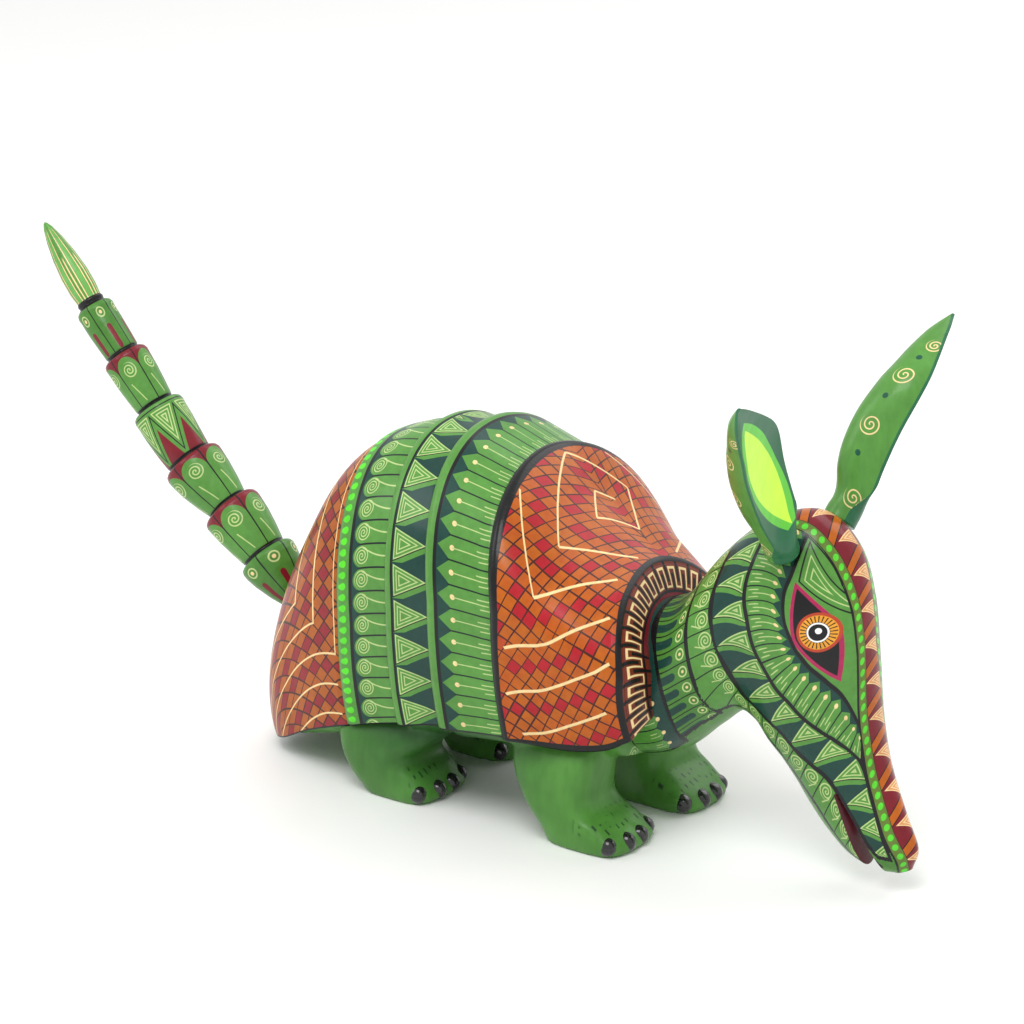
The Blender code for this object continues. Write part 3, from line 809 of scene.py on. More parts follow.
def leg_rings(rows, side, rearward):
    rings = []
    turns = full_turn(64)
    for height, back, ahead, inner, outer in curve_through(rows, 60):
        back -= rearward
        along = (back + ahead) / 2 + (ahead - back) / 2 * squared(np.cos(turns), LEG_SQUARENESS)
        out = (inner + outer) / 2 + (outer - inner) / 2 * squared(np.sin(turns), LEG_SQUARENESS)
        rings.append(columns(along + CENTRE_X, -side * out, max(height, 0.0)))
    return rings


def blob(centre, size, turn=0.0):
    """A rounded lump: rings of an ellipsoid."""
    angles = full_turn(20)
    spin = np.array([[math.cos(turn), -math.sin(turn), 0], [math.sin(turn), math.cos(turn), 0], [0, 0, 1]])
    rings = []
    for lift in np.linspace(-0.98, 0.98, 14):
        spread = math.sqrt(1 - lift * lift)
        ring = columns(size[0] * spread * np.cos(angles), size[1] * spread * np.sin(angles), size[2] * lift)
        rings.append(ring @ spin.T + np.array(centre))
    return rings


def foot_parts(centre_back, height, size):
    """One lump for each toe of each foot: how far behind the toe's end it is, how high and how big."""
    for side in (1, -1):
        for rows in (FRONT_LEG, REAR_LEG):
            _, _, front_x, inner, outer = rows[-2]
            for share in TOE_SHARES:
                x = front_x + CENTRE_X - 0.8 - 3.0 * share * share
                y = -side * ((inner + outer) / 2 + share * TOE_SPREAD * (outer - inner))
                yield blob((x + centre_back, y, height), size, -side * share * TOE_SPLAY)


def joined(name, solids):
    """One object of several closed solids, each given as its rings."""
    vertices = []
    faces = []
    for rings in solids:
        points, own_faces = loft(rings)
        faces.extend([tuple(index + len(vertices) for index in face) for face in own_faces])
        vertices.extend(points)
    obj = new_object(name, np.array(vertices) * MM, faces)
    outward(obj)
    return obj


core_rings = []
for x in np.linspace(-73.0, 68.0, 90):
    high = np.radians(np.linspace(68, 119, 16))
    right_side = shell_point(np.full(16, x), high, CORE_INSET)
    low = shell_row(x)[3]
    edge_y = right_side[-1, 1]
    sweep = np.linspace(0, math.pi, 40)[1:-1]
    rim_height = right_side[-1, 2]
    under = columns(x + CENTRE_X, edge_y * np.cos(sweep), rim_height - (rim_height - low) * np.sin(sweep) ** 0.75)
    left_side = right_side[::-1] * np.array([1.0, -1.0, 1.0])
    core_rings.append(np.concatenate([right_side, under, left_side]))

solids = [core_rings]
for side in (1, -1):
    solids.append(leg_rings(FRONT_LEG, side, FAR_LEG_REARWARD if side < 0 else 0.0))
    solids.append(leg_rings(REAR_LEG, side, 0.0))
solids.extend(foot_parts(-5.6, 3.6, (6.2, 3.0, 3.8)))
underbody = joined("belly_and_legs", solids)
remesh = underbody.modifiers.new("one skin", "REMESH")
remesh.mode = "VOXEL"
remesh.voxel_size = 0.0010
soften = underbody.modifiers.new("soften", "SMOOTH")
soften.factor = 0.5
soften.iterations = 2
apply_modifiers(underbody)
places = vertex_places(underbody)
places[:, 2] = np.maximum(places[:, 2], 0.0001)
underbody.data.vertices.foreach_set("co", places.ravel())
underbody.data.update()
smooth_shading(underbody)
underbody.data.materials.append(leg_paint)

CLAW_BACK, CLAW_LIFT, CLAW_SIZE, CLAW_LOWEST = -1.9, 3.4, (3.8, 3.1, 3.3), 0.15
solids = []
for rings in foot_parts(CLAW_BACK, CLAW_LIFT, CLAW_SIZE):
    solids.append([np.maximum(ring, (-np.inf, -np.inf, CLAW_LOWEST)) for ring in rings])
claws = joined("claws", solids)
claws.data.materials.append(claw_paint)

# ---------------------------------------------------------------- neck and head
# top x, top z, low x, low z, half width
HEAD = (
    (62.0, 76.0, 60.0, 24.0, 23.0), (80.0, 83.5, 78.0, 29.0, 22.5), (94.0, 101.0, 91.0, 40.0, 20.5),
    (109.0, 114.0, 101.0, 48.0, 20.0), (125.0, 119.0, 108.0, 46.0, 20.5), (137.0, 111.0, 113.0, 40.0, 20.0),
    (143.0, 96.0, 118.0, 35.0, 18.0), (146.0, 76.0, 123.0, 29.0, 15.5), (148.5, 57.0, 128.0, 22.0, 13.0),
    (152.5, 41.0, 134.0, 15.0, 10.5), (159.0, 26.0, 141.0, 9.0, 8.0), (164.0, 15.5, 150.0, 6.0, 5.5),
    (162.5, 8.5, 157.0, 6.5, 2.5),
)
HEAD_ROWS, HEAD_ROUND = 300, 216
head_fine = curve_through(HEAD, 2401)
head_index = np.linspace(0, len(HEAD) - 1, 2401)


def head_point(station, degrees):
    """A point of the head, in millimetres, at a station and an angle from its top."""
    top_x, top_z, low_x, low_z, half = (np.interp(station, head_index, head_fine[:, k]) for k in range(5))
    cosine = np.cos(np.radians(degrees))
    sine = np.sin(np.radians(degrees))
    x = (top_x + low_x) / 2 + (top_x - low_x) / 2 * cosine + CENTRE_X
    z = (top_z + low_z) / 2 + (top_z - low_z) / 2 * cosine
    return columns(x, -half * sine, z)


head_run = run_along(head_fine[:, :2])
head_stations = np.interp(np.linspace(0, head_run[-1], HEAD_ROWS), head_run, head_index)
head_rings = []
head_at = []
for station in head_stations:
    tries = np.linspace(-180.0, 180.0, 721)
    outline = head_point(np.full(721, station), tries)
    length = run_along(outline)
    degrees = np.interp(np.linspace(0, length[-1], HEAD_ROUND, endpoint=False), length, tries)
    from_top = np.interp(degrees, tries, length) - length[360]
    head_rings.append(head_point(np.full(HEAD_ROUND, station), degrees))
    head_at.append(columns(station, np.abs(degrees), from_top))
head_places, head_faces = loft(head_rings)
head_values = np.concatenate(head_at)
head = new_object("neck_and_head", head_places * MM, head_faces)
outward(head)

# the mouth is a wedge cut across the snout
MOUTH_START = (141.0, 32.5)
MOUTH_END = (152.6, 3.0)
MOUTH_NARROW, MOUTH_WIDE = 0.7, 4.2
mouth_way = Vector((MOUTH_END[0] - MOUTH_START[0], MOUTH_END[1] - MOUTH_START[1])).normalized()
corners = []
for end, half in ((MOUTH_START, MOUTH_NARROW), (MOUTH_END, MOUTH_WIDE)):
    for sign in (-1, 1):
        corners.append((end[0] + CENTRE_X - mouth_way.y * half * sign, end[1] + mouth_way.x * half * sign))
order = (corners[0], corners[1], corners[3], corners[2])
mouth_points = [(px * MM, y, pz * MM) for y in (-0.04, 0.04) for px, pz in order]
mouth_cutter = new_object("mouth_cutter", mouth_points, [(0, 1, 2, 3), (7, 6, 5, 4), (0, 4, 5, 1), (1, 5, 6, 2),
                                                         (2, 6, 7, 3), (3, 7, 4, 0)], False)
outward(mouth_cutter)
mouth_cutter.data.materials.append(mouth_paint)

EAR_SEAT = (122.5, -16.5, 110.5)
EAR_AXIS = (0.155, -0.608, 0.784)
EAR_FACE = (0.755, -0.438, -0.487)
SEAT_RADIUS, SEAT_DEPTH = 6.6, 0.8
BORE_RADIUS, BORE_DEPTH = 2.7, 12.0
EAR_CUT = 30.0
head_cutters = [mouth_cutter]
for side in (1, -1):
    seat = Vector((EAR_SEAT[0] + CENTRE_X, EAR_SEAT[1] * side, EAR_SEAT[2])) * MM
    axis = Vector((EAR_AXIS[0], EAR_AXIS[1] * side, EAR_AXIS[2])).normalized()
    for depth, radius, material in ((SEAT_DEPTH, SEAT_RADIUS, leg_paint), (BORE_DEPTH, BORE_RADIUS, wood_paint)):
        head_cutters.append(rod("ear_cutter", seat - axis * depth * MM, axis, EAR_CUT * MM, radius * MM, material))

# rings of the neck: (station, degrees) along the inner edge and along the outer edge
RINGS = {
    1: ((0.60, 0, -0.30, 0), (0.67, 38, -0.25, 38), (1.00, 67, 0.20, 67), (1.25, 96, 0.35, 96),
        (1.40, 126, 0.40, 126), (1.38, 156, 0.35, 156)),
    2: ((1.66, 0, 0.60, 0), (1.66, 38, 0.65, 26), (1.72, 66, 0.85, 54), (1.92, 92, 1.13, 82),
        (2.15, 120, 1.33, 112), (2.50, 152, 1.385, 146)),
    3: ((2.35, 0, 1.66, 0), (2.35, 42, 1.66, 31), (2.35, 66, 1.68, 57), (2.59, 88, 1.84, 82),
        (2.99, 112, 2.06, 109), (3.40, 126, 2.42, 146), (3.90, 133, 3.80, 150), (4.89, 129, 4.85, 148),
        (6.53, 119, 6.30, 144),
        (7.30, 108, 7.20, 138), (8.20, 91, 8.20, 130), (8.90, 88, 9.00, 132), (9.90, 98, 10.0, 138),
        (11.0, 108, 11.0, 148)),
    4: ((3.25, 0, 2.35, 0), (3.25, 40, 2.35, 34), (3.27, 65, 2.35, 57), (3.49, 81, 2.48, 79),
        (4.06, 99, 2.82, 104), (5.03, 104, 3.78, 131), (5.80, 101, 4.89, 129), (6.46, 95, 5.80, 124),
        (7.20, 81, 6.53, 119),
        (7.76, 66, 7.30, 108), (8.62, 44, 8.20, 91), (9.60, 52, 9.30, 86), (10.90, 76, 10.60, 94)),
    5: ((4.15, 16, 3.25, 0), (4.32, 50, 3.25, 40), (4.37, 64, 3.27, 65), (4.66, 74, 3.49, 81),
        (5.19, 78, 4.06, 99), (5.60, 77, 5.03, 104), (6.06, 73, 5.80, 101), (6.60, 63, 6.46, 95),
        (7.14, 50, 7.20, 81),
        (7.75, 38, 7.76, 66), (8.10, 33, 8.62, 42)),
}
STRIP_RIGHT = ((3.2, 15), (3.97, 16), (4.65, 16), (5.38, 13), (6.15, 9), (6.76, 9), (7.73, 16), (8.51, 20),
               (9.3, 26), (10.22, 34), (12.0, 36))
STRIP_LEFT = ((3.2, 27), (4.51, 29), (5.33, 29), (6.12, 25), (6.82, 25), (7.54, 33), (8.4, 39), (9.34, 48),
              (10.66, 72), (12.0, 80))
CROWN_START = 3.55
ROUND_SCALE = 0.42
STATION_SCALE = 14.0

RING_ALONG, RING_ACROSS = 260, 25
ring_tables = {}
for ring, table in RINGS.items():
    track = curve_through(table, RING_ALONG)
    shares = np.linspace(0.0, 1.0, RING_ACROSS)
    inner, outer = track[:, None, :2], track[:, None, 2:]
    both = inner + (outer - inner) * shares[None, :, None]
    solid = head_point(np.maximum(both[..., 0], 0.0), both[..., 1])
    run = run_along(solid[:, RING_ACROSS // 2])
    width = np.linalg.norm(np.diff(solid, axis=1), axis=2).sum(axis=1)
    along = run[:, None]
    wide = width[:, None]
    grid = columns(both[..., 0] * STATION_SCALE, both[..., 1] * ROUND_SCALE, ring, along, shares * wide, wide)
    slopes = np.concatenate([grid, np.gradient(grid, axis=0), np.gradient(grid, axis=1)], axis=-1)
    ring_tables[ring] = slopes.reshape(-1, 18)
ring_tables[0] = np.concatenate(list(ring_tables.values()))
ring_trees = {}
for ring, table in ring_tables.items():
    tree = kdtree.KDTree(len(table))
    for index, row in enumerate(table):
        tree.insert((row[0], row[1], 0.0), index)
    tree.balance()
    ring_trees[ring] = tree


def ring_places(ring, spots, limit):
    """Ring, along, across, width and the distance outside it; ring 0 stands for whichever is nearest."""
    scaled = spots * np.array([STATION_SCALE, ROUND_SCALE])
    tree = ring_trees[ring]
    nearest = [tree.find((u, v, 0.0))[1] for u, v in scaled]
    row = ring_tables[ring][nearest]
    offset = scaled - row[:, :2]
    a, b, c, d = row[:, 6], row[:, 12], row[:, 7], row[:, 13]
    determinant = a * d - b * c
    determinant = np.where(np.abs(determinant) < 1e-6, 1e-6, determinant)
    first = np.clip((offset[:, 0] * d - offset[:, 1] * b) / determinant, -limit, limit)
    second = np.clip((offset[:, 1] * a - offset[:, 0] * c) / determinant, -limit, limit)
    outside = np.hypot(offset[:, 0] - a * first - b * second, offset[:, 1] - c * first - d * second)
    along = row[:, 3] + row[:, 9] * first + row[:, 15] * second
    across = row[:, 4] + row[:, 10] * first + row[:, 16] * second
    return columns(row[:, 2], along, across, row[:, 5], outside)


cut(head, head_cutters)
head_new = vertex_places(head) * MILLIMETRES
head_values = carry(head_places, head_values, head_new)
station, degrees, signed_top = head_values.T
from_top = np.abs(signed_top)
right_edge = np.interp(station, *np.array(STRIP_RIGHT).T)
left_edge = np.interp(station, *np.array(STRIP_LEFT).T)


def arc_from_top(stations, angles):
    """Length along the head's outline from its top to an angle."""
    total = np.zeros(len(stations))
    before = head_point(stations, np.zeros(len(stations)))
    for share in np.linspace(0.0, 1.0, 17)[1:]:
        here = head_point(stations, angles * share)
        total += np.linalg.norm(here - before, axis=1)
        before = here
    return total


strip_middle = arc_from_top(station, (right_edge + left_edge) / 2)
strip_run = np.interp(station, head_index, head_run)
ring_gap = ring_places(0, columns(station, degrees), 0.6)[:, 4]
set_vectors(head, "gap", columns(ring_gap, ring_gap, ring_gap))
set_vectors(head, "crown", columns(strip_run, signed_top, from_top - strip_middle))


def ring_borders(paint, across, width, inner=1.5, outer=1.5):
    left = paint.attribute("ring_end", 0.0)[0]
    paint.fill(BLACK, left - 0.9, 0.8)
    paint.fill(BLACK, across - inner * 0.5, 0.8)
    paint.fill(BLACK, width - across - outer * 0.5, 0.8)


# ring 1: dark, with cream dots and strokes
first = Paint("neck_ring_1")
along, across, width = first.attribute("ring", 0.16)
first.ground(TEAL)
CHEST_PITCH, CHEST_LEAVES = 6.3, 40.0
y = repeat(along, CHEST_PITCH, 2.0)
lower_part = inside(CHEST_LEAVES - along, 4.0)
pencil = abs(y) + most(6.8 - across, 0.0) * 1.2
first.lay(LEAF, inside(pencil - 2.9) * lower_part)
first.lay(BLACK, line(abs(y) - CHEST_PITCH * 0.5, 0.42) * inside(6.0 - across) * lower_part, 0.6)
first.lay(CREAM, dot(across - 4.9, y, 0.85), 1.2)
marks = stroke(across, y, (6.6, 0.7), (10.8, 0.9), 0.34)
marks = most(marks, stroke(across, y, (7.6, -0.9), (10.4, -0.8), 0.34))
first.lay(PALE, marks * lower_part, 1.0)
ring_borders(first, across, width)
ring_one = first.finish(0.26)

# ring 2: ovals at the rear and cream circles with a dot at the front
second = Paint("neck_ring_2")
along, across, width = second.attribute("ring", 0.16)
second.ground(GREEN)
NECK_PITCH = 5.5
y = repeat(along, NECK_PITCH, 0.0)
oval = most(7.6 - across, 0.0)
bar = far(oval, y) - 1.35
second.fill(TEAL, bar)
second.lay(BLACK, line(abs(y) - NECK_PITCH * 0.5, 0.42), 0.6)
second.lay(PALE, circle(across - 3.1, y, 1.55, 0.48), 1.0)
second.lay(CREAM, dot(across - 3.1, y, 0.50), 1.2)
ring_borders(second, across, width)
ring_two = second.finish(0.28)

# ring 3: cream spirals
third = Paint("neck_ring_3")
along, across, width = third.attribute("ring", 0.14)
third.ground(LEAF)
SPIRAL_PITCH = 6.6
y = repeat(along, SPIRAL_PITCH, 0.0)
third.lay(BLACK, line(abs(y) - SPIRAL_PITCH * 0.5, 0.42), 0.6)
third.lay(PALE, spiral(across - 3.6, y, 2.95, 2.5, 0.44), 1.0)
third.lay(PALE, stroke(across, y, (4.4, 2.3), (8.2, 0.4), 0.40), 1.0)
ring_borders(third, across, width)
ring_three = third.finish(0.28)

# ring 4: nested triangles pointing to the rear, with green stripes
fourth = Paint("neck_ring_4")
along, across, width = fourth.attribute("ring", 0.14)
fourth.ground(TEAL)
WEDGE_PITCH = 9.3
share = across / width
y = repeat(along, WEDGE_PITCH, 1.5)
reach = share * 8.8
depth = wedge(reach, y, 8.2, 3.7)
lower = y - (3.7 - reach * (3.7 / 8.2))
fourth.fill(LEAF, abs(lower - 1.0) - 0.9)
fourth.fill(LEAF, -depth)
fourth.lay(BLACK, line(lower - 0.1, 0.4), 0.6)
fourth.lay(PALE, nested(depth, 0.95, 0.36, 3), 1.0)
ring_borders(fourth, across, width)
ring_four = fourth.finish(0.28)

# ring 5: pencils pointing forward
fifth = Paint("neck_ring_5")
along, across, width = fifth.attribute("ring", 0.14)
fifth.ground(TEAL)
PENCIL_PITCH = 4.5
y = repeat(along, PENCIL_PITCH, 0.0)
share = across / width
point = abs(y) + most((0.26 - share) * 11.0, 0.0)
fifth.fill(LEAF, point - 2.05)
fifth.lay(BLACK, line(abs(y) - PENCIL_PITCH * 0.5, 0.36) * inside(0.24 - share, 0.05), 0.6)
marks = line(y, 0.30) * inside(0.28 - share, 0.04) * inside(share - 0.80, 0.04)
side_marks = line(abs(y) - 1.1, 0.30) * inside(0.66 - share, 0.04) * inside(share - 0.90, 0.04)
fifth.lay(PALE, most(marks, side_marks), 1.0)
fifth.lay(CREAM, dot((share - 0.27) * 9.0, y, 0.60), 1.2)
ring_borders(fifth, across, width, 1.0, 1.4)
ring_five = fifth.finish(0.28)

# eye field: brow triangle and the eye, placed by where they are on the side of the head
eye = Paint("eye_field")
x, y, z = eye.position()
off = eye.attribute("crown", 0.1)[2]
eye.ground(LEAF)
EYE_MIDDLE = (149.3, 85.7)
IRIS = (150.2, 86.2)
EYE_LEAN = (0.423, 0.906)
u = (x - EYE_MIDDLE[0]) * EYE_LEAN[0] - (z - EYE_MIDDLE[1]) * EYE_LEAN[1]
v = (x - EYE_MIDDLE[0]) * EYE_LEAN[1] + (z - EYE_MIDDLE[1]) * EYE_LEAN[0]
bow = (abs(u) / 17.0) ** 1.5
almond = abs(v) - (1.0 - bow) * 6.6
brow = most(most((143.2 - x), (x - 143.2) * 1.25 + (z - 112.5)), (101.4 - z) - (x - 143.2) * 0.72)
eye.lay(BLACK, line(brow, 0.5))
brow_lines = line((abs(brow + 1.6)), 0.36)
brow_lines = most(brow_lines, line(brow + 3.2, 0.36))
eye.lay(PALE, brow_lines * inside(almond * -1.0 + 1.2), 1.0)
eye.fill(MAGENTA, almond)
eye.fill(BLACK, almond + 1.15)
dx = (x - IRIS[0]) / 0.93
dz = z - IRIS[1]
reach = far(dx, dz)
turn = dz.math("ARCTAN2", dx) * (26.0 / (2.0 * math.pi))
eye.fill((0.420, 0.050, 0.018), reach - 6.3, 0.5)
eye.fill(AMBER, reach - 5.4)
ticks = inside(abs(turn.fract() - 0.5) - 0.16, 0.10) * inside(reach - 5.2) * inside(3.1 - reach)
eye.lay((0.030, 0.014, 0.004), ticks)
eye.fill(BLACK, reach - 3.3)
eye.lay(WHITE, line(reach - 2.9, 0.5), 0.6)
eye.lay(WHITE, dot(dx - 0.2, dz - 0.5, 0.95), 0.6)
eye.lay(BLACK, inside(2.1 - off) * inside(off - 2.6))
eye.fill(BLACK, eye.attribute("gap", 0.0)[0] - 0.65, 0.8)
eye_paint = eye.finish(0.26)

# crown: forehead bars and triangles, and the dotted strip beside them
crown = Paint("crown")
run, from_ridge, off = crown.attribute("crown", 0.14)
crown.ground(WINE)
CROWN_PITCH = 11.6
c = repeat(run, CROWN_PITCH, 2.0)
bar = c + 2.6 - from_ridge * 0.50
bar_far = abs(bar) - 1.45
crown.fill(BLACK, bar_far - 0.42, 0.6)
crown.fill(ORANGE, bar_far)
lean = c - 1.6 + from_ridge * 0.12
peak = wedge(from_ridge + 4.2, lean - 1.2, 8.6, 3.1)
crown.fill(PEACH, -peak, 0.4)
crown.lay(CREAM, nested(peak, 0.80, 0.30, 3), 1.0)
crown.fill(BLACK, -1.75 - off)
crown.lay(OLIVE, inside(-1.55 - off) * inside(off - 1.7))
dot_cell = repeat(run, 3.55)
crown.lay((0.090, 0.600, 0.030), dot(off, dot_cell, 1.05), 1.5)
crown.fill(BLACK, abs(off - 2.0) - 0.35)
crown_paint = crown.finish(0.26)

under_paint = plain_green("under_green")
under = under_paint.finish(0.36)

head_slots = (ring_one, ring_two, ring_three, ring_four, ring_five, eye_paint, crown_paint, under)
mesh = head.data
carried = [m for m in mesh.materials]
face_station = face_means(head, station)
face_degrees = face_means(head, degrees)
face_off = face_means(head, from_top - strip_middle)
face_ring = ring_places(0, columns(face_station, face_degrees), 0.6)
was = read(mesh.polygons, "material_index", 1, int)
names = [m.name if m else "" for m in carried]
keep_names = (mouth_paint.name, leg_paint.name, wood_paint.name)
mesh.materials.clear()
for material in head_slots + (mouth_paint, leg_paint, wood_paint):
    mesh.materials.append(material)
EYE_SLOT, CROWN_SLOT, UNDER_SLOT = 5, 6, 7
slots = np.full(len(mesh.polygons), UNDER_SLOT)
inside_ring = face_ring[:, 4] < 0.8
slots[inside_ring] = face_ring[inside_ring, 0].astype(int) - 1
near_eye = (face_ring[:, 4] > 0.3) & (face_ring[:, 0] > 3.5)
slots[(near_eye | ~inside_ring) & (face_degrees < 100) & (face_station > 3.6) & (face_station < 8.6)] = EYE_SLOT
slots[(face_off < 2.35) & (face_station > CROWN_START)] = CROWN_SLOT
for index, slot in enumerate(was):
    name = names[slot] if slot < len(names) else ""
    if name in keep_names:
        slots[index] = len(head_slots) + keep_names.index(name)
corner_vertex = read(mesh.loops, "vertex_index", 1, int)
corner_slot = np.repeat(slots, [p.loop_total for p in mesh.polygons])
corner_ring = np.zeros((len(mesh.loops), 3))
corner_end = np.zeros((len(mesh.loops), 3))
spots = columns(station, degrees)
for ring in RINGS:
    corners = np.nonzero(corner_slot == ring - 1)[0]
    used, back = np.unique(corner_vertex[corners], return_inverse=True)
    found = ring_places(ring, spots[used], 8.0)
    corner_ring[corners] = found[back, 1:4]
    corner_end[corners, 0] = ring_tables[ring][:, 3].max() - found[back, 1]
for name, values in (("ring", corner_ring), ("ring_end", corner_end)):
    layer = mesh.attributes.new(name, "FLOAT_VECTOR", "CORNER")
    layer.data.foreach_set("vector", values.astype(np.float32).ravel())
mesh.polygons.foreach_set("material_index", slots)
smooth_shading(head)

# ---------------------------------------------------------------- ears
EAR_LENGTH = 75.5
# share of the length, half width, depth, front, shift
EAR = (
    (0.00, 5.4, 5.6, 5.6, 0.0), (0.05, 5.6, 6.8, 5.4, 0.0), (0.12, 7.0, 10.6, 4.2, 1.0),
    (0.26, 8.4, 13.0, 2.0, 2.0), (0.42, 9.2, 13.2, 0.6, 3.2), (0.58, 10.0, 11.7, 0.2, 4.4),
    (0.68, 9.2, 10.0, 0.4, 4.2), (0.78, 7.3, 8.0, 0.6, 2.8), (0.88, 5.0, 5.4, 0.8, 1.1),
    (0.94, 3.2, 3.3, 1.0, 0.3), (0.98, 1.5, 1.6, 1.0, 0.0), (1.00, 0.6, 0.7, 1.0, 0.0),
)
# the hollow runs out over the last share of the length; the round foot turns into the leaf over the others
EAR_HOLLOW, EAR_HOLLOW_END = 1.2, 0.2
EAR_FOOT_SHARE, EAR_BLEND_SHARE = 0.04, 0.16
# each ear is set at its own turn: the right one forward, the left one a little back
EAR_TURNS = {1: math.radians(38), -1: math.radians(-7)}
EAR_ROWS, EAR_ROUND = 150, 112

ear_back = Paint("ear_back")
along, across, edge = ear_back.attribute("ear", 0.2)
ear_back.ground(LEAF)
# along the ear: where each spiral and each dark spot is, and how big
EAR_SPIRALS = ((7.8, 3.3), (30.0, 3.5), (48.5, 3.5), (62.0, 2.5))
EAR_SPOTS = (20.5, 40.0, 56.0, 68.0)
EAR_LANE = 8.2
lane = abs(across) - EAR_LANE
for place, size in EAR_SPIRALS:
    ear_back.lay(CREAM, spiral(along - place, lane, size, 2.2, 0.44), 1.0)
for place in EAR_SPOTS:
    ear_back.lay((0.010, 0.075, 0.045), dot(along - place, lane + 0.6, 0.95), 0.6)
ear_back.fill(DEEP, edge - 1.3)
ear_back_paint = ear_back.finish(0.34, (1.0, 1.0, 0.3))

ear_front = Paint("ear_front")
along, across, edge = ear_front.attribute("ear", 0.2)
ear_front.ground(DEEP)
EAR_MIDDLE, LEAF_MIDDLE, LEAF_LEAN = 37.0, 2.8, 1.6


def outside_leaf(half_length, half_width, fullness):
    """How far outside a pointed leaf that leans across the ear's hollow."""
    share = (along - EAR_MIDDLE) / half_length
    lean = LEAF_MIDDLE - share * LEAF_LEAN
    return abs(across - lean) - (1.0 - abs(share) ** fullness) * half_width


ear_front.lay(BRIGHT, inside(outside_leaf(30.0, 7.6, 2.8)) * inside(0.9 - edge), 0.5)
ear_front.fill(LIME, outside_leaf(26.0, 6.0, 2.0), 0.5)
ear_front_paint = ear_front.finish(0.34, (1.0, 1.0, 0.3), 0.16)

ears = {}
ear_fine = curve_through(EAR, 400)
for name, side in (("right_ear_leaf", 1), ("left_ear_leaf", -1)):
    axis = np.array([EAR_AXIS[0], EAR_AXIS[1] * side, EAR_AXIS[2]])
    axis /= np.linalg.norm(axis)
    face = np.array([EAR_FACE[0], EAR_FACE[1] * side, EAR_FACE[2]])
    face -= axis * (face @ axis)
    face /= np.linalg.norm(face)
    across_way = np.cross(axis, face) * side
    turn = EAR_TURNS[side]
    face, across_way = (face * math.cos(turn) + across_way * math.sin(turn),
                        across_way * math.cos(turn) - face * math.sin(turn))
    seat = np.array([EAR_SEAT[0] + CENTRE_X, EAR_SEAT[1] * side, EAR_SEAT[2]])
    turns = full_turn(EAR_ROUND)
    sine, cosine = np.sin(turns), np.cos(turns)
    rings, values = [], []
    for share in np.linspace(0.0, 1.0, EAR_ROWS) ** 0.97:
        half, deep, ahead, shift = (np.interp(share, ear_fine[:, 0], ear_fine[:, k]) for k in range(1, 5))
        hollow = EAR_HOLLOW * (1 - sine**2) * min(1.0, (1 - share) / EAR_HOLLOW_END)
        leaf_v = np.where(cosine > 0, ahead - hollow, ahead + deep * cosine)
        blend = np.clip((share - EAR_FOOT_SHARE) / EAR_BLEND_SHARE, 0, 1)
        blend = blend * blend * (3 - 2 * blend)
        u = half * sine + shift * blend
        v = (1 - blend) * EAR[0][2] * cosine + blend * leaf_v
        at = seat + axis * (share * EAR_LENGTH)
        rings.append(at + u[:, None] * across_way + v[:, None] * face)
        rim = np.minimum((1 - np.abs(sine)) * half, (1 - share) * EAR_LENGTH * 0.32)
        rim = np.minimum(rim, np.maximum(share - 0.12, 0.0) * EAR_LENGTH * 0.55)
        rim_back = (ahead - v) + 0.3
        rim = np.where(cosine > 0, rim, rim_back)
        edges = np.hypot(np.diff(u, append=u[:1]), np.diff(v, append=v[:1]))
        round_way = np.concatenate(([0.0], np.cumsum(edges)))[:EAR_ROUND]
        from_back = round_way - round_way[EAR_ROUND // 2]
        place_across = np.where(cosine > 0, u, -from_back)
        values.append(columns(share * EAR_LENGTH, place_across, rim))
    points, faces = loft(rings)
    ear = new_object(name, points * MM, faces)
    set_vectors(ear, "ear", np.concatenate(values))
    ear.data.materials.append(ear_back_paint)
    ear.data.materials.append(ear_front_paint)
    front_of = np.tile(cosine > 0.02, EAR_ROWS).astype(float)
    share_of = np.concatenate(values)[:, 0] / EAR_LENGTH
    is_front = (face_means(ear, front_of) > 0.6) & (face_means(ear, share_of) > 0.12)
    ear.data.polygons.foreach_set("material_index", is_front.astype(int))
    outward(ear)
    ears[name] = ear

# ---------------------------------------------------------------- tail
TAIL_LINE = (
    (-82.2, 44.9), (-96.2, 58.6), (-111.8, 72.7), (-128.9, 86.4), (-144.0, 103.0), (-158.2, 119.2),
    (-171.8, 134.5), (-193.1, 161.2),
)
TAIL_SHOULDERS = (10.4, 10.8, 10.9, 9.5, 8.3, 6.8)
TAIL_WAISTS = (5.2, 8.2, 7.6, 8.4, 7.0, 6.2)
TIP_RADIUS, NECK_RADIUS, TAIL_NECK = 5.0, 5.2, 6.0
TAIL_ROUND = 120
# the way round the tail is measured at this radius
TAIL_SCALE = 9.0
tail_points = np.array([(x + CENTRE_X, 0.0, z) for x, z in TAIL_LINE])
neck_way = tail_points[1] - tail_points[0]
neck_way /= np.linalg.norm(neck_way)
root = tail_points[0] - neck_way * TAIL_NECK
track = curve_through(np.vstack([root, tail_points]), 1800)
run = run_along(track)
knots = [run[np.argmin(np.linalg.norm(track - p, axis=1))] for p in tail_points]
profile = [(0.0, NECK_RADIUS, 0), (knots[0], NECK_RADIUS, 0)]
for k in range(6):
    start, end = knots[k], knots[k + 1]
    length = end - start
    waist, shoulder = TAIL_WAISTS[k], TAIL_SHOULDERS[k]
    for share, radius in ((0.02, waist - 0.5), (0.07, waist), (0.30, waist + (shoulder - waist) * 0.40),
                          (0.60, waist + (shoulder - waist) * 0.80), (0.80, shoulder - 0.15), (0.90, shoulder),
                          (0.955, shoulder - 0.35), (0.985, shoulder - 1.1)):
        profile.append((start + length * share, radius, k + share))
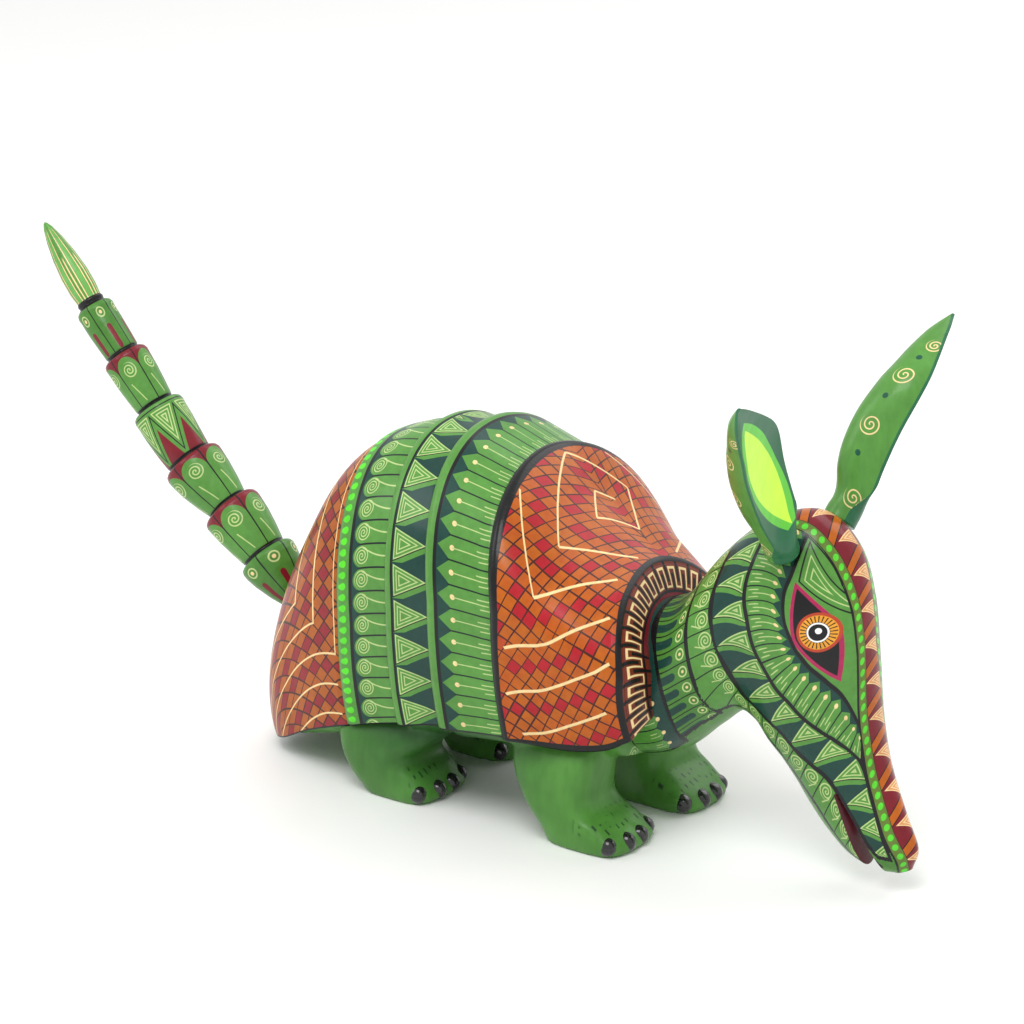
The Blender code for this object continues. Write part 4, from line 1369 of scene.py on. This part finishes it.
start, end = knots[6], knots[7]
length = end - start
for share, radius in ((0.015, TIP_RADIUS - 0.4), (0.05, TIP_RADIUS - 0.1), (0.08, TIP_RADIUS - 0.5),
                      (0.2, TIP_RADIUS), (0.38, TIP_RADIUS), (0.6, 4.2), (0.8, 2.9), (0.93, 1.6),
                      (0.985, 0.7), (1.0, 0.15)):
    profile.append((start + length * share, radius, 6 + share))
profile = np.array(profile)
tail_rows = np.unique(np.concatenate([np.linspace(0.0, run[-1], 330), profile[:, 0]]))
rings, values = [], []
turns = full_turn(TAIL_ROUND)
for at in tail_rows:
    here = np.array([np.interp(at, run, track[:, k]) for k in range(3)])
    ahead = np.array([np.interp(min(at + 2.0, run[-1]), run, track[:, k]) for k in range(3)])
    behind = np.array([np.interp(max(at - 2.0, 0.0), run, track[:, k]) for k in range(3)])
    way = ahead - behind
    way /= np.linalg.norm(way)
    up = np.cross(way, (0.0, 1.0, 0.0))
    radius = np.interp(at, profile[:, 0], profile[:, 1])
    segment = np.interp(at, profile[:, 0], profile[:, 2])
    facet = radius * (1.0 + 0.012 * np.cos(6 * turns))
    rings.append(here + np.outer(facet * np.cos(turns), up) + np.outer(facet * np.sin(turns), (0.0, 1.0, 0.0)))
    values.append(columns(segment, turns * TAIL_SCALE, at))
points, faces = loft(rings)
tail = new_object("tail_segments", points * MM, faces)
tail_values = np.concatenate(values)
set_vectors(tail, "tail", tail_values)
outward(tail)

PANELS = 6
PANEL = 2 * math.pi * TAIL_SCALE / PANELS
SEGMENT = 20.0


def tail_paint(name, start):
    paint = Paint(name)
    segment, around, _ = paint.attribute("tail", 0.0)
    share = segment.fract()
    y = repeat(around, PANEL, start)
    return paint, share, y


def tail_borders(paint, share):
    paint.fill(BLACK, share - 0.055, 0.8, soft=0.01)
    paint.fill(BLACK, 0.975 - share, 0.8, soft=0.01)


circles, share, y = tail_paint("tail_circles", 1.0)
circles.ground(GREEN)
circles.lay(BLACK, line(abs(y) - PANEL * 0.5, 0.5), 0.6)
slot_x = most(abs((share - 0.30) * SEGMENT) - 3.6, 0.0)
circles.fill(WINE, far(slot_x, y) - 1.2)
circles.lay(PALE, circle((share - 0.78) * SEGMENT, y, 1.75, 0.55), 1.0)
circles.lay(CREAM, dot((share - 0.78) * SEGMENT, y, 0.70), 1.2)
tail_borders(circles, share)
circles_paint = circles.finish(0.32)

petals, share, y = tail_paint("tail_petals", 4.0)
petals.ground(WINE)
corner = most((share - 0.62) * SEGMENT, 0.0)
petals.fill(LEAF, (corner * corner * 0.7 + y * y).math("SQRT") - PANEL * 0.48)
petals.lay(BLACK, line(abs(y) - PANEL * 0.5, 0.5), 0.6)
petals.lay(PALE, spiral((share - 0.66) * SEGMENT, y, 2.7, 2.4, 0.42), 1.0)
petals.lay(PALE, stroke(share * SEGMENT, y, (2.0, 0.4), (9.0, 2.4), 0.4), 1.0)
tail_borders(petals, share)
petals_paint = petals.finish(0.32)

wedges, share, y = tail_paint("tail_wedges", 2.0)
wedges.ground(WINE)
depth = wedge((0.94 - share) * SEGMENT, y, 18.0, PANEL * 0.62)
wedges.fill(LEAF, -depth - 0.9)
wedges.lay(BLACK, line(depth - 0.5, 0.4), 0.6)
wedges.lay(PALE, nested(depth - 1.4, 1.0, 0.38, 3), 1.0)
tail_borders(wedges, share)
wedges_paint = wedges.finish(0.32)

tip, share, y = tail_paint("tail_tip", 0.0)
tip.ground(LEAF)
tip.fill((0.130, 0.380, 0.080), abs(y) - 1.5)
stripes = line(abs(y) - PANEL * 0.24, 0.75) * inside(share - 0.90, 0.05)
stripes = most(stripes, line(abs(y) - PANEL * 0.5, 0.9) * inside(share - 0.55, 0.05))
tip.lay(CREAM, stripes, 1.0)
tip.fill(BLACK, share - 0.075, 0.8, soft=0.01)
tip_paint = tip.finish(0.32)

neck, share, y = tail_paint("tail_root", 0.0)
neck.ground(GREEN)
neck.lay(CREAM, line(abs(y) - PANEL * 0.25, 1.1), 1.0)
neck_paint = neck.finish(0.32)

for material in (neck_paint, circles_paint, petals_paint, wedges_paint, tip_paint):
    tail.data.materials.append(material)
face_segment = face_means(tail, tail_values)
kinds = (1, 2, 2, 3, 2, 1, 4)
slots = np.array([kinds[min(int(value), 6)] for value in face_segment[:, 0]])
slots[face_segment[:, 2] < knots[0]] = 0
tail.data.polygons.foreach_set("material_index", slots)

# ---------------------------------------------------------------- riding and pegs
tail_axis = Vector((-0.7147, 0.0, 0.6994)).normalized()
TAIL_BORE_START, TAIL_BORE, TAIL_BORE_RADIUS = 0.012, 0.040, 0.0056
bore_start = Vector(tuple(root * MM)) - tail_axis * TAIL_BORE_START
tail_cutter = rod("tail_bore", bore_start, tail_axis, TAIL_BORE, TAIL_BORE_RADIUS, wood_paint)
old = vertex_places(shell)
old_vectors = {}
for name in ("paint", "hood", "band"):
    old_vectors[name] = read(shell.data.attributes[name].data, "vector", 3)
cut(shell, [tail_cutter])
new_places = vertex_places(shell)
for name, values_of in old_vectors.items():
    found = shell.data.attributes.get(name)
    if found is not None:
        shell.data.attributes.remove(found)
    set_vectors(shell, name, carry(old, values_of, new_places))
smooth_shading(shell)

for piece in (shell, underbody, claws, head):
    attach(piece, "carving")
    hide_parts("body")
for piece, body, node in ((ears["right_ear_leaf"], "right_ear", "ear_right"),
                          (ears["left_ear_leaf"], "left_ear", "ear_left"), (tail, "tail", "tail")):
    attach(piece, body)
    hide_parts(node)
for name in ("ear_peg_right", "ear_peg_left", "tail_peg"):
    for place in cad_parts[name].material_slots:
        place.material = wood_paint

# ---------------------------------------------------------------- stage, light and camera
floor_paint = Paint("floor_white")
floor_paint.ground((0.90, 0.90, 0.89))
floor_material = floor_paint.finish(0.42, mottle=0.004, brush=0.0, coat=0.0)
FLOOR_HALF = 15.0
floor_corners = [(x * FLOOR_HALF, y * FLOOR_HALF, 0) for x, y in ((-1, -1), (1, -1), (1, 1), (-1, 1))]
floor = new_object("floor", floor_corners, [(0, 1, 2, 3)], False)
floor.data.materials.append(floor_material)

scene = bpy.context.scene
scene.view_settings.view_transform = "Standard"
world = bpy.data.worlds.new("soft_white")
world.use_nodes = True
world.node_tree.nodes["Background"].inputs["Color"].default_value = (1.0, 1.0, 1.0, 1.0)
world.node_tree.nodes["Background"].inputs["Strength"].default_value = 0.86
scene.world = world

box_middle = (Vector(cad_box[0]) + Vector(cad_box[1])) / 2
target = box_middle + Vector((0.0146, 0.0116, 0.0051))


def direction(azimuth, elevation):
    """The way from the object at an azimuth and an elevation, in degrees."""
    turn = math.radians(azimuth)
    rise = math.radians(elevation)
    return Vector((math.sin(turn) * math.cos(rise), -math.cos(turn) * math.cos(rise), math.sin(rise)))


def stand(name, data, way, distance):
    """A lamp or camera that faces the target from a distance."""
    obj = bpy.data.objects.new(name, data)
    obj.location = target + way * distance
    obj.rotation_euler = way.to_track_quat("Z", "Y").to_euler()
    scene.collection.objects.link(obj)
    return obj


def soft_light(name, azimuth, elevation, distance, size, power):
    """A square soft light that faces the object."""
    data = bpy.data.lights.new(name, "AREA")
    data.shape = "SQUARE"
    data.size = size
    data.energy = power
    stand(name, data, direction(azimuth, elevation), distance)


soft_light("key_light", 20, 58, 1.2, 0.6, 7.0)
soft_light("side_light", -50, 35, 1.4, 0.6, 3.0)
soft_light("back_light", 165, 50, 1.6, 1.2, 9.0)

AZIMUTH, ELEVATION, DISTANCE, LENS = 36, 19, 1.3, 138.5
camera_data = bpy.data.cameras.new("camera")
camera_data.lens = LENS
camera_data.sensor_width = 36.0
scene.camera = stand("camera", camera_data, direction(AZIMUTH, ELEVATION), DISTANCE)
